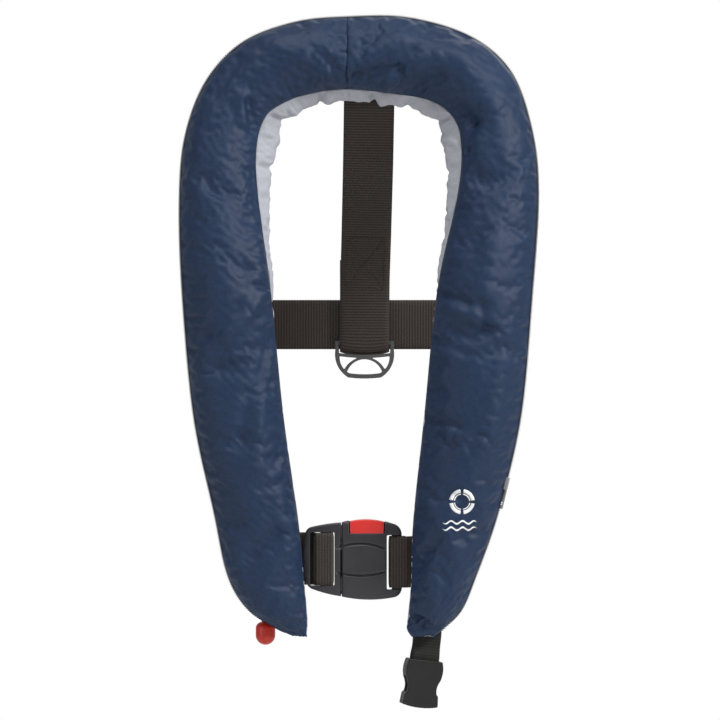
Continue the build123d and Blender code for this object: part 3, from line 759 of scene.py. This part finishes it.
    def crease(self, grid: np.ndarray, folds: list[Fold], seed: int, gather: float) -> np.ndarray:
        """Add folds, and the small gathers that stitching leaves beside an edge.

        Args:
            grid: one panel's fine points.
            folds: its folds.
            seed: picks the pattern of the gathers.
            gather: height of the gathers in millimetres.

        Returns:
            The creased points.
        """
        along = np.gradient(grid, axis=0)
        across = np.gradient(grid, axis=1)
        normal = unit(np.cross(along, across))
        middle = grid.mean(axis=1, keepdims=True)
        normal *= np.sign(np.median(np.sum(normal * (grid - middle), axis=2)))
        steps = np.linalg.norm(np.diff(grid, axis=1), axis=2)
        run = np.concatenate([np.zeros((len(grid), 1)), np.cumsum(steps, axis=1)], axis=1) / MM
        edge = np.minimum(run, run[:, -1:] - run)
        lift = sum(fold.lift(grid[:, :, [0, 2]] / MM) for fold in folds)
        rng = np.random.default_rng(seed)
        far = travel(middle[:, 0]) / MM
        gathers = np.zeros((len(grid), 2))
        for length in self.gather_lengths:
            phase = rng.uniform(0, 2 * math.pi, 2)
            drift = np.sin(far[:, None] / self.gather_drift + phase) * 2
            gathers += np.sin(2 * math.pi * far[:, None] / length + phase * 3 + drift)
        side = (run > run[:, -1:] / 2).astype(int)
        near = np.take_along_axis(gathers, side, axis=1)
        inward = edge / self.gather_reach
        lift = lift + gather * near * inward * np.exp(1 - inward)
        hold = np.clip(edge / self.edge_hold, 0, 1)
        return grid + normal * (lift * hold * MM)[..., None]

    def panel(self, name: str, grid: np.ndarray, material: bpy.types.Material) -> bpy.types.Object:
        """One panel of cloth, facing outwards, with its real thickness.

        Args:
            name: the piece's name.
            grid: the panel's points in metres.
            material: its finish.

        Returns:
            The panel.
        """
        rows, columns = grid.shape[:2]
        steps = np.linalg.norm(np.diff(grid, axis=0, prepend=grid[:1]), axis=2).mean(axis=1).cumsum()
        wide = np.linalg.norm(np.diff(grid, axis=1, prepend=grid[:, :1]), axis=2).cumsum(axis=1)
        uvs = np.stack([np.repeat(steps[:, None], columns, axis=1), wide], axis=2).reshape(-1, 2)
        made = mesh_object(name, grid.reshape(-1, 3), grid_faces(rows, columns), material, uvs)
        centre = grid.mean(axis=1)
        outward = 0.0
        every = len(made.data.polygons) // FACES_ASKED + 1
        for index in range(0, len(made.data.polygons), every):
            face = made.data.polygons[index]
            spot = np.array(face.center)
            nearest = centre[np.argmin(np.linalg.norm(centre - spot, axis=1))]
            outward += np.sign(np.dot(np.array(face.normal), spot - nearest))
        if outward < 0:
            made.data.flip_normals()
        thick = made.modifiers.new("thick", "SOLIDIFY")
        thick.thickness = self.cloth_mm * MM
        thick.offset = -1.0
        apply_modifiers(made)
        shade_smooth(made)
        return made

    def build(self, finishes: Finishes) -> list[bpy.types.Object]:
        """Make the panels and dress them.

        Args:
            finishes: the jacket's materials.

        Returns:
            Left front, right front and lining.
        """
        self.measure()
        grid = self.sections()
        grid = self.simulate(grid, finishes.cover)
        last = self.front_columns - 1
        front = self.refine(grid[:, :last + 1])
        back = self.refine(np.concatenate([grid[:, last:], grid[:, :1]], axis=1))
        front = self.crease(front, COVER_FOLDS, seed=5, gather=self.cover_gather)
        back = self.crease(back, LINING_FOLDS, seed=8, gather=self.lining_gather)
        seam = self.centre_row * self.finer
        away = np.abs(np.arange(len(front)) - seam)
        dip = (self.seam_dip * np.exp(-((away / self.seam_rows) ** 2)) * MM)[:, None, None]
        front = front - dip * unit(front - front.mean(axis=1, keepdims=True))
        made = []
        for name, part, material, slot, node in (
            ("left_front_panel", front[:seam + 1], finishes.cover, Slot.COVER, "cover_front_left"),
            ("right_front_panel", front[seam:], finishes.cover, Slot.COVER, "cover_front_right"),
            ("lining_panel", back, finishes.lining, Slot.LINING, "back_lining"),
        ):
            piece = place(self.panel(name, part, material), "jacket", slot, node)
            made.append(piece)
        return made


# ------------------------------------------------------------------ zip
@dataclass
class ZipEdge:
    """The closed zip that runs round the outside of the horseshoe from lobe tip to lobe tip."""

    tape_inset: float = 1.2
    tape_width: float = 7.0
    tape_t: float = 1.0
    tooth_pitch: float = 2.1
    tooth: Point = (1.25, 2.3, 2.1)
    end_mm: float = 6.0

    def tape(self, cover: PaddedHorseshoe, finishes: Finishes) -> bpy.types.Object:
        """Flat tape behind the teeth.

        Args:
            cover: the horseshoe whose edge it follows.
            finishes: the jacket's materials.

        Returns:
            The tape.
        """
        near, far = self.tape_inset, self.tape_width
        outline = ((near, -0.5), (near, 0.5), (far, 0.5), (far, -0.5))
        loops = [cover.edge(out, share * self.tape_t)[0] for out, share in outline]
        rows = np.stack(loops, axis=1)[3:-3]  # the tape stops just short of the lobe tips
        count = len(rows)
        faces = grid_faces(count, 4, wrap=True) + [(3, 2, 1, 0), tuple(4 * (count - 1) + k for k in range(4))]
        made = mesh_object("zip_tape_band", rows.reshape(-1, 3), faces, finishes.zip)
        face_outwards(made)
        return place(made, "jacket", Slot.ZIP, "zip_tape")

    def teeth(self, cover: PaddedHorseshoe, finishes: Finishes) -> bpy.types.Object:
        """Coil teeth as rounded blocks, one after another.

        Args:
            cover: the horseshoe whose edge it follows.
            finishes: the jacket's materials.

        Returns:
            The teeth as one piece.
        """
        points, outward = cover.edge(self.tooth[1] / 2 + 0.1)
        far = travel(points)
        at = np.arange(self.end_mm * MM, far[-1] - self.end_mm * MM, self.tooth_pitch * MM)
        spots = sample(points, far, at)
        runs = unit(sample(outward, far, at))
        ahead = unit(np.gradient(spots, axis=0))
        deep = unit(np.cross(ahead, runs))
        half = np.array(self.tooth) * MM / 2
        levels = ((1, -1, 0.55), (0.8, 0.6, 1), (0.5, 1, 0.5))  # root, shoulder and crest of a tooth
        corners = [(i * a, b, j * c) for a, b, c in levels for i, j in ((-1, -1), (1, -1), (1, 1), (-1, 1))]
        box = [(0, 3, 2, 1), (8, 9, 10, 11)]
        box += [(r + k, r + (k + 1) % 4, r + 4 + (k + 1) % 4, r + 4 + k) for r in (0, 4) for k in range(4)]
        verts = np.stack([spots + ahead * (a * half[0]) + runs * (b * half[1]) + deep * (c * half[2])
                          for a, b, c in corners], axis=1).reshape(-1, 3)
        faces = [tuple(12 * i + k for k in face) for i in range(len(spots)) for face in box]
        made = mesh_object("zip_coil_teeth", verts, faces, finishes.zip, smooth=False)
        face_outwards(made)
        return place(made, "jacket", Slot.ZIP, "zip_coil")

    def build(self, cover: PaddedHorseshoe, finishes: Finishes) -> None:
        """Make the tape and teeth."""
        self.tape(cover, finishes)
        self.teeth(cover, finishes)


# ------------------------------------------------------------------ webbing
@dataclass
class Webbing:
    """Flat webbing along a bent route, with crosswise ribs and full edges.

    Each row of the route is a point and the direction of the webbing's width there, in millimetres.
    """

    name: str
    route: list[tuple[float, ...]]
    radii: list[float]
    width: float = 45.0
    thick: float = 1.5
    rib_pitch: float = 2.5
    rib_mm: float = 0.2
    columns: int = 13
    step: float = 0.42
    droop: float = 0.0
    droop_below: float = -196.0
    droop_over: float = 12.0
    line: np.ndarray = field(init=False)
    side: np.ndarray = field(init=False)
    normal: np.ndarray = field(init=False)
    far: np.ndarray = field(init=False)

    def follow(self) -> None:
        """Round the route's corners and sample it evenly."""
        pts = np.asarray(self.route, float)
        rows = [pts[0]]
        for i in range(1, len(pts) - 1):
            to, on = pts[i - 1] - pts[i], pts[i + 1] - pts[i]
            a, b = np.linalg.norm(to[:3]), np.linalg.norm(on[:3])
            turn = math.acos(float(np.clip(-(to[:3] @ on[:3]) / (a * b), -1, 1)))
            sharpest, just_under_half = 3.0, 0.49
            cut = min(self.radii[i - 1] * math.tan(min(turn, sharpest) / 2), just_under_half * min(a, b))
            start, end = pts[i] + to * cut / a, pts[i] + on * cut / b
            for t in np.linspace(0, 1, CORNER_STEPS):
                rows.append((1 - t) ** 2 * start + 2 * t * (1 - t) * pts[i] + t * t * end)
        rows.append(pts[-1])
        dense = np.array(rows)
        far = travel(dense)
        want = np.linspace(0, far[-1], max(4, int(far[-1] / self.step)))
        even = sample(dense, far, want)
        ahead = unit(np.gradient(even[:, :3], axis=0))
        side = even[:, 3:] - ahead * np.sum(even[:, 3:] * ahead, axis=1, keepdims=True)
        self.line, self.side = even[:, :3], unit(side)
        self.normal = unit(np.cross(ahead, self.side))
        self.far = want

    def surface(self, row: np.ndarray, across: np.ndarray, lift: np.ndarray) -> np.ndarray:
        """Find points on the webbing.

        Args:
            row: rows of the even line.
            across: share across the width, from -1 to 1.
            lift: height over the middle, in millimetres.

        Returns:
            Points in metres.
        """
        points = (self.line[row] + self.side[row] * (across * self.width / 2)[..., None]
                  + self.normal[row] * lift[..., None])
        if self.droop:
            below = np.clip((self.droop_below - points[..., 2]) / self.droop_over, 0, 1)
            points[..., 2] -= self.droop * (1 - across ** 2) * below
        return points * MM

    def build(self, material: bpy.types.Material, body: str, slot: Slot, *nodes: str) -> bpy.types.Object:
        """Make the webbing and let it ride on a body.

        Args:
            material: its finish.
            body: the CAD body it rides on.
            slot: its material slot.
            nodes: the CAD nodes it stands for.

        Returns:
            The piece.
        """
        return place(self.mesh(material), body, slot, *nodes)

    def mesh(self, material: bpy.types.Material) -> bpy.types.Object:
        """Make the webbing's mesh in its finish.

        Args:
            material: its finish.

        Returns:
            The webbing, not yet on a body.
        """
        self.follow()
        count = len(self.line)
        share = np.linspace(-1, 1, self.columns)
        flat = 1 - 0.75 * np.abs(share) ** 14
        over = np.concatenate([share, share[::-1]])
        sign = np.concatenate([flat, -flat[::-1]])
        ribs = np.abs(np.sin(math.pi * self.far / self.rib_pitch)) ** 0.7 if self.rib_mm else 0 * self.far
        height = self.thick / 2 - self.rib_mm + self.rib_mm * ribs
        rows = np.repeat(np.arange(count)[:, None], 2 * self.columns, axis=1)
        lift = height[:, None] * sign[None, :]
        wave = 1 + 0.004 * ribs[:, None] * np.ones_like(lift)
        points = self.surface(rows, over[None, :] * wave, lift)
        uvs = np.stack([np.repeat(self.far[:, None], 2 * self.columns, axis=1),
                        np.repeat(over[None, :] * self.width / 2, count, axis=0)], axis=2) * MM
        around = 2 * self.columns
        faces = grid_faces(count, around, wrap=True)
        faces += [tuple(range(around)), tuple((count - 1) * around + k for k in range(around))]
        made = mesh_object(self.name, points.reshape(-1, 3), faces, material, uvs.reshape(-1, 2))
        face_outwards(made)
        return made

    def stitches(self, lines: list[tuple[float, float, float, float]], side: float,
                 material: bpy.types.Material, body: str) -> bpy.types.Object:
        """Sew straight rows of stitches on one face.

        Args:
            lines: start and end of each row as (distance along, across, distance along, across).
            side: 1 for the face its normal points out of, -1 for the other.
            material: the thread.
            body: the CAD body it rides on.

        Returns:
            The thread as one piece.
        """
        verts, faces = [], []
        for s0, w0, s1, w1 in lines:
            long = math.hypot(s1 - s0, w1 - w0)
            count = int(long / STITCH_MM)
            for k in range(count):
                shares = (k + np.array([0.06, 0.3, 0.7, 0.94])) / count
                rows = np.clip(((s0 + (s1 - s0) * shares) / self.step).astype(int), 0, len(self.line) - 1)
                across = (w0 + (w1 - w0) * shares) * 2 / self.width
                base = self.surface(rows, across, np.full(4, side * self.thick / 2))
                up = self.normal[rows] * side
                ahead = unit(np.tile(base[-1] - base[0], (4, 1)))
                beside = unit(np.cross(ahead, up))
                first = len(verts)
                for j, size in enumerate((0.15, 0.5, 0.5, 0.15)):  # thin where the thread dives
                    for angle in np.linspace(0, 2 * math.pi, 6, endpoint=False):
                        offset = beside[j] * math.cos(angle) + up[j] * math.sin(angle)
                        verts.append(base[j] + offset * size * MM)
                faces += [tuple(first + v for v in face) for face in grid_faces(4, 6, wrap=True)]
                faces += [tuple(range(first, first + 6)), tuple(range(first + 23, first + 17, -1))]
        made = mesh_object(self.name + "_stitches", np.array(verts), faces, material)
        face_outwards(made)
        return place(made, body, Slot.WEBBING)


@dataclass
class Harness:
    """Every run of webbing: waist belt, back strap, crotch strap, and the bands that hold the belt."""

    side_run: tuple[tuple[float, ...], ...] = (
        (92.0, 164, -189, 0, 0, 1), (116, 157, -198, -0.1, -0.42, 0.9), (128, 132, -226, -0.1, -0.72, 0.68),
        (124, 100, -274, 0, -0.84, 0.53), (112, 68, -330, 0, -0.86, 0.5), (99, 42, -380, 0.3, -0.5, 0.8),
        (84, 31.5, -397, 0.1, -0.1, 0.99), (64, 30, -398.5, 0, 0, 1),
    )
    buckle_z: float = -399.0
    adjuster_z: float = -396.5
    adjuster_width: float = 46.2
    strap_x: float = 5.1
    strap_z: float = -213.9
    box_top: float = 165.0
    box_low: float = 218.0
    box_half: float = 17.5
    crotch_width: float = 25.0
    crotch_turn: float = 14.0
    crotch_lean: float = 7.5
    crotch_pivot: Point = (60.0, 12.4, -464.8)
    crotch_root_z: float = -432.0
    crotch_tip_z: float = -461.0
    band_width: float = 16.0

    def waist(self, finishes: Finishes) -> None:
        """Belt from behind the left lobe, round the back, to the fold on the buckle's right bar.

        Args:
            finishes: the jacket's materials.
        """
        left = [(-x, y + 2.0 * (z < -390), z, -a, b, c) for x, y, z, a, b, c in reversed(self.side_run)]
        fold = [(50, 26), (42, 17.2), (26.7, 17.2), (26.7, 27.6), (41, 27.6)]
        route = left + list(self.side_run) + [(x, y, self.buckle_z, 0, 0, 1) for x, y in fold]
        radii = [60.0] * (2 * len(self.side_run) - 2) + [8.0, 4.0, 2.0, 1.8, 1.8]
        belt = Webbing("waist_belt", route, radii[:len(route) - 2])
        belt.build(finishes.webbing, "jacket", Slot.WEBBING, "waist_belt_back", "belt_side_left",
                   "belt_side_right", "belt_front_right")
        path = [(-66, 28.9), (-40.5, 28.9), (-37.6, 17.4), (-22.8, 17.4), (-22.8, 26.4), (-34, 26.4)]
        route = [(x, y, self.adjuster_z, 0, 0, 1) for x, y in path]
        fold = Webbing("belt_fold", route, [3.0, 1.8, 1.8, 1.8], width=self.adjuster_width)
        fold.build(finishes.webbing, "buckle_tongue_half", Slot.WEBBING, "belt_front_left")

    def back(self, finishes: Finishes) -> None:
        """Strap down from the collar, through the ring and up behind the belt, with its box of stitches.

        Args:
            finishes: the jacket's materials.
        """
        route = [(9.2, 71.5, 40), (9.0, 73, 4), (8.2, 92, -44), (6.6, 132, -110), (5.4, 156.8, -150)]
        route += [(self.strap_x, y, z) for y, z in (
            (156.8, -206.5), (158.4, -210.6), (162.3, self.strap_z), (166.2, self.strap_z),
            (167.6, -210.5), (167.6, -160), (160, -140), (158.6, -130))]
        strap = Webbing("back_strap_webbing", [(*p, 1, 0, 0) for p in route],
                        [20, 40, 60, 50, 3, 2, 2, 2, 2, 10, 8], droop=2.6)
        strap.build(finishes.webbing, "jacket", Slot.WEBBING, "back_strap")
        top, low, half = self.box_top, self.box_low, self.box_half
        corners = [(top, -half), (top, half), (low, half), (low, -half)]
        box = [(*corners[k], *corners[(k + 1) % 4]) for k in range(4)]
        box += [(*corners[0], *corners[2]), (*corners[1], *corners[3])]
        facing = -1.0 if strap.normal[len(strap.normal) // 3][1] > 0 else 1.0
        strap.stitches(box, facing, finishes.thread, "jacket")

    def crotch(self, finishes: Finishes) -> None:
        """Webbing from inside the right lobe, bending at its tip, and round the crotch buckle's bar.

        Args:
            finishes: the jacket's materials.
        """
        turn, lean = math.radians(self.crotch_turn), math.radians(self.crotch_lean)
        up = np.array([math.sin(lean), 0, math.cos(lean)])
        across = np.array([math.cos(turn), math.sin(turn), 0])
        across = unit(across - up * (across @ up))
        back = -np.cross(across, up)
        pivot = np.array(self.crotch_pivot)
        path = [(-0.6, -9), (-3.2, -16), (-3.2, -24.4), (3.2, -24.4), (3.2, -16), (0.95, -9), (0.95, -1.5)]
        route = [(*self.crotch_pivot[:2], z, 1, 0, 0) for z in (self.crotch_root_z, self.crotch_tip_z)]
        route += [(*(pivot + back * a + up * b), *across) for a, b in path]
        run = Webbing("crotch_webbing_run", route, [20, 20, 6, 2, 2, 6, 6], width=self.crotch_width)
        made = run.mesh(finishes.crotch_webbing)
        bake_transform(made)
        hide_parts("crotch_anchor", "crotch_webbing")
        LOG.info("%s: %d vertices from jacket to crotch_strap", made.name, len(made.data.vertices))

    def tunnels(self, finishes: Finishes) -> None:
        """Bands of cover cloth on the backs of the lobes.

        Args:
            finishes: the jacket's materials.
        """
        for side, x, back in (("left", -82.5, 46.0), ("right", 74.0, 36.0)):
            path = [(18, -360), (18, -368), (back, -373), (back, -425), (18, -430), (18, -438)]
            band = Webbing(f"belt_band_{side}", [(x, y, z, 1, 0, 0) for y, z in path], [2.5] * 4,
                           width=self.band_width, thick=1.3, rib_mm=0.0, step=1.0)
            band.build(finishes.cover, "jacket", Slot.COVER, f"belt_tunnel_{side}")

    def build(self, finishes: Finishes) -> None:
        """Make every run.

        Args:
            finishes: the jacket's materials.
        """
        self.waist(finishes)
        self.back(finishes)
        self.crotch(finishes)
        self.tunnels(finishes)


# ------------------------------------------------------------------ moulded parts
@dataclass
class Moulded:
    """A moulded part: the CAD solid with the soft edges that a mould leaves."""

    node: str
    body: str
    slot: Slot
    voxel: float = 0.45
    rounds: int = 8
    crown: float = 0.0
    crown_at: Point = (0.0, 0.0, 0.0)
    crown_half: Point = (1.0, 1.0, 1.0)
    groove_mm: float = 0.0
    groove_x: tuple[float, float] = (-21.0, 24.5)
    groove_z: tuple[float, float] = (-411.0, -383.0)
    groove_half: float = 1.1
    panel_mm: float = 0.5

    def build(self, material: bpy.types.Material) -> bpy.types.Object:
        """Make the part in its finish.

        Args:
            material: its finish.

        Returns:
            The part.
        """
        source = frame["nodes"][self.node]
        bpy.context.view_layer.update()
        mesh = source.data.copy()
        mesh.transform(source.matrix_world)
        mesh.materials.clear()
        mesh.materials.append(material)
        work = bmesh.new()
        work.from_mesh(mesh)
        bmesh.ops.remove_doubles(work, verts=work.verts, dist=0.004 * MM)
        work.to_mesh(mesh)
        work.free()
        made = bpy.data.objects.new(self.node + "_moulded", mesh)
        bpy.context.scene.collection.objects.link(made)
        voxels = made.modifiers.new("voxels", "REMESH")
        voxels.mode = "VOXEL"
        voxels.voxel_size = self.voxel * MM
        voxels.use_smooth_shade = True
        soften = made.modifiers.new("soften", "SMOOTH")
        soften.factor = 0.5
        soften.iterations = self.rounds
        apply_modifiers(made)
        if self.crown:
            self.bow(made)
        made.data.materials.clear()
        made.data.materials.append(material)
        shade_smooth(made)
        return place(made, self.body, self.slot, self.node)

    def bow(self, made: bpy.types.Object) -> None:
        """Curve the front face back towards its borders.

        Args:
            made: the mesh object.
        """
        count = len(made.data.vertices)
        co = np.zeros(count * 3, np.float32)
        made.data.vertices.foreach_get("co", co)
        co = co.reshape(-1, 3).astype(float)
        away = (co / MM - np.array(self.crown_at)) / np.array(self.crown_half)
        front = np.clip(-away[:, 1], 0, 1)
        fall = np.clip(np.abs(away[:, 0]) ** 3 + np.abs(away[:, 2]) ** 3, 0, 1.6)
        co[:, 1] += self.crown * MM * front * fall
        if self.groove_mm:
            x, z = co[:, 0] / MM, co[:, 2] / MM
            arch = (x - 1) ** 2
            upper, lower = self.groove_z[1] - 0.0095 * arch, self.groove_z[0] + 0.0065 * arch
            inside = np.clip((self.groove_x[1] - x) / 2, 0, 1) * np.clip((x - self.groove_x[0]) / 2, 0, 1)
            dent = sum(np.exp(-(((z - middle) / self.groove_half) ** 2)) for middle in (upper, lower))
            panel = np.clip((upper - z) / 1.2, 0, 1) * np.clip((z - lower) / 1.2, 0, 1)
            co[:, 1] += (self.groove_mm * dent - self.panel_mm * panel) * inside * (front > 0.35) * MM
        made.data.vertices.foreach_set("co", co.astype(np.float32).ravel())
        made.data.update()


@dataclass
class Hardware:
    """Buckles, ring, button and toggle."""

    middle_z: float = -396.8
    # corners of the near-black sheet that paints shade in the buckle's joint
    joint_shade_low: Point = (-15.7, 20.4, -427.5)
    joint_shade_high: Point = (-14.2, 23.6, -366.6)

    def build(self, finishes: Finishes) -> None:
        """Make every moulded part that shows.

        Args:
            finishes: the jacket's materials.
        """
        for part, finish in (
            (Moulded("buckle_front_shell", "jacket", Slot.BUCKLE, crown=3.0, crown_at=(6, 22, self.middle_z),
                     crown_half=(36, 8, 35), groove_mm=1.2), finishes.buckle),
            (Moulded("buckle_back_shell", "jacket", Slot.BUCKLE), finishes.buckle),
            (Moulded("buckle_tongue", "buckle_tongue_half", Slot.BUCKLE, crown=2.2,
                     crown_at=(-14, 22, self.middle_z), crown_half=(36, 5.5, 34), groove_mm=1.0),
             finishes.buckle),
            (Moulded("adjuster_bar", "buckle_tongue_half", Slot.BUCKLE), finishes.buckle),
            (Moulded("release_button", "button", Slot.RED, voxel=0.4, rounds=10, crown=0.8,
                     crown_at=(7, 22, -368), crown_half=(16, 6.2, 9)), finishes.button),
            (Moulded("back_ring", "ring", Slot.BUCKLE, voxel=0.35, rounds=5), finishes.ring),
            (Moulded("pull_toggle", "toggle", Slot.RED, voxel=0.4, rounds=6), finishes.toggle),
            (Moulded("crotch_socket", "crotch_buckle", Slot.BUCKLE, voxel=0.4), finishes.crotch_plastic),
        ):
            part.build(finish)
        # near-black sheet in the buckle's joint: painted shade
        self.lip(finishes)

    def lip(self, finishes: Finishes) -> None:
        """Thin sheet inside the socket half that closes its joint with the other half to the eye, in
        near-black plastic as painted shade in the joint.

        Args:
            finishes: the jacket's materials.
        """
        ends = np.array([self.joint_shade_high, self.joint_shade_low]) * MM
        corners = [(ends[a][0], ends[b][1], ends[c][2]) for a in (0, 1) for b in (0, 1) for c in (0, 1)]
        faces = [(0, 1, 3, 2), (4, 6, 7, 5), (0, 4, 5, 1), (2, 3, 7, 6), (0, 2, 6, 4), (1, 5, 7, 3)]
        # near-black, darker than the buckle's own plastic: painted shade in the joint
        made = mesh_object("buckle_joint_shade_sheet", np.array(corners), faces, finishes.crotch_plastic, smooth=False)
        face_outwards(made)
        place(made, "jacket", Slot.BUCKLE)


# ------------------------------------------------------------------ print on the right lobe
@dataclass
class LobePrint:
    """White lifebuoy and two waves, screen-printed on the right lobe as a plain sign."""

    centre: tuple[float, float] = (89.5, -344.5)
    outer_r: float = 11.0
    inner_r: float = 6.2
    wave_half: float = 15.0
    wave_z: tuple[float, float] = (-362.5, -368.0)
    ink_mm: float = 0.12

    def strip(self, left: list[tuple[float, float]], right: list[tuple[float, float]]) -> tuple[list, list]:
        """Quads between two lines of (x, z) points of the same number."""
        points = [p for pair in zip(left, right) for p in pair]
        return points, [(2 * i, 2 * i + 1, 2 * i + 3, 2 * i + 2) for i in range(len(left) - 1)]

    def shapes(self) -> list[tuple[list, list]]:
        """Every inked shape as flat points and faces.

        Returns:
            Points and faces of each shape.
        """
        made = []
        for quarter in range(4):
            turns = np.radians(np.linspace(8, 82, 26) + 90 * quarter)
            for low, high in ((self.inner_r, self.inner_r + 0.9), (self.inner_r + 1.6, self.outer_r)):
                arcs = [[(self.centre[0] + r * math.cos(a), self.centre[1] + r * math.sin(a)) for a in turns]
                        for r in (low, high)]
                made.append(self.strip(*arcs))
        for level in self.wave_z:
            across = np.linspace(-self.wave_half, self.wave_half, 60)
            mid = level + 1.3 * np.sin(across * 2 * math.pi / 10)
            thick = 0.8 * np.clip((self.wave_half - np.abs(across)) / 4, 0.15, 1)
            xs = self.centre[0] + across - 2.0
            made.append(self.strip(list(zip(xs, mid - thick)), list(zip(xs, mid + thick))))
        return made

    def build(self, cloth: bpy.types.Object, finishes: Finishes) -> bpy.types.Object:
        """Lay the ink on the cloth.

        Args:
            cloth: the panel that carries it.
            finishes: the jacket's materials.

        Returns:
            The print.
        """
        tree = BVHTree.FromObject(cloth, bpy.context.evaluated_depsgraph_get())
        verts, faces = [], []
        for points, quads in self.shapes():
            first = len(verts)
            for x, z in points:
                hit = tree.ray_cast(Vector((x * MM, -0.5, z * MM)), Vector((0, 1, 0)))
                verts.append(tuple(hit[0] + hit[1] * (self.ink_mm + 0.1) * MM))
            faces += [tuple(first + k for k in quad) for quad in quads]
        made = mesh_object("lobe_print", np.array(verts), faces, finishes.print_white)
        thick = made.modifiers.new("ink", "SOLIDIFY")
        thick.thickness = self.ink_mm * MM
        thick.offset = 0.0
        apply_modifiers(made)
        return place(made, "jacket", Slot.COVER)


# ------------------------------------------------------------------ parts that keep their CAD mesh
def dress_cad_nodes(finishes: Finishes) -> None:
    """Give each CAD node that still shows the finish of its slot, and fine rounded edges.

    Args:
        finishes: the jacket's materials.
    """
    by_slot = {
        Slot.COVER: finishes.cover, Slot.LINING: finishes.lining, Slot.ZIP: finishes.zip,
        Slot.WEBBING: finishes.thread, Slot.BUCKLE: finishes.buckle, Slot.RED: finishes.toggle,
        Slot.CORD: finishes.cord, Slot.BLADDER: finishes.bladder, Slot.STEEL: finishes.steel,
        Slot.INNER: finishes.inner, Slot.TUBE: finishes.rubber, Slot.TABLET: finishes.tablet,
    }
    parts = {part["node"]: part for part in frame["record"]["subparts"]}
    for name, node in frame["nodes"].items():
        if node.hide_render:
            continue
        slot = Slot(parts[name]["material_slot"])
        node.data.materials.clear()
        node.data.materials.append(by_slot[slot])
        edge = node.modifiers.new("edge", "BEVEL")
        edge.width = EDGE_MM * MM
        edge.segments = 2
        edge.limit_method = "ANGLE"
        edge.angle_limit = math.radians(40)
        LOG.info("%s: %s", name, slot.value)


# ------------------------------------------------------------------ camera, light and floor
@dataclass
class Studio:
    """Pale floor, white surroundings and soft lamps, with the camera level and far away."""

    distance: float = 3.5
    frame_width: float = 0.630
    aim: Point = (0.0009, 0.0, -0.2214)
    floor_z: float = -0.80
    floor_radius: float = 2.8
    ambient: float = 0.3

    def build(self) -> None:
        """Make the floor, lamps, world and camera."""
        ring = [(self.floor_radius * math.cos(a), self.floor_radius * math.sin(a), self.floor_z)
                for a in np.linspace(0, 2 * math.pi, 96, endpoint=False)]
        paint = MouldedPlastic("pale_floor_paint", "e9e9e8", "f2f2f1", roughness=0.8).build()
        floor = mesh_object("floor", np.array(ring), [tuple(range(96))], paint, smooth=False)
        world = bpy.data.worlds.new("studio")
        world.use_nodes = True
        tree = world.node_tree
        way = add_node(tree, "SeparateXYZ", {0: add_node(tree, "TexCoord").outputs["Generated"]})
        glow = add_node(tree, "MapRange", {"Value": way.outputs["Y"], "From Min": 0.8, "From Max": 0.95,
                                           "To Min": self.ambient, "To Max": 1.0})
        tree.nodes["Background"].inputs["Color"].default_value = (1, 1, 1, 1)
        tree.links.new(glow.outputs[0], tree.nodes["Background"].inputs["Strength"])
        bpy.context.scene.world = world
        lamps = [
            ("key", (2.3, -1.5, 1.5), 78, 0.7),
            ("top", (-0.2, -0.9, 2.3), 30, 1.0),
            ("fill", (-2.4, -1.9, -0.2), 14, 1.5),
            ("rim", (0.8, 2.2, 1.4), 14, 1.4),
        ]
        for name, where, power, size in lamps:
            data = bpy.data.lights.new(name, "AREA")
            data.energy = power
            data.size = size
            lamp = bpy.data.objects.new(name, data)
            lamp.location = where
            lamp.rotation_euler = (Vector(self.aim) - Vector(where)).to_track_quat("-Z", "Y").to_euler()
            bpy.context.scene.collection.objects.link(lamp)
        data = bpy.data.cameras.new("camera")
        data.lens = data.sensor_width * self.distance / self.frame_width
        camera = bpy.data.objects.new("camera", data)
        camera.location = (self.aim[0], self.aim[1] - self.distance, self.aim[2])
        camera.rotation_euler = (math.radians(90), 0, 0)
        bpy.context.scene.collection.objects.link(camera)
        bpy.context.scene.camera = camera
        bpy.context.scene.view_settings.view_transform = "Standard"


def main() -> None:
    """Build every sub-assembly in order."""
    logging.basicConfig(level=logging.INFO, format="%(name)s %(message)s")
    finishes = Finishes()
    Studio().build()
    cover = PaddedHorseshoe()
    panels = cover.build(finishes)
    ZipEdge().build(cover, finishes)
    Harness().build(finishes)
    Hardware().build(finishes)
    LobePrint().build(panels[1], finishes)
    dress_cad_nodes(finishes)


if __name__ == "__main__":
    main()
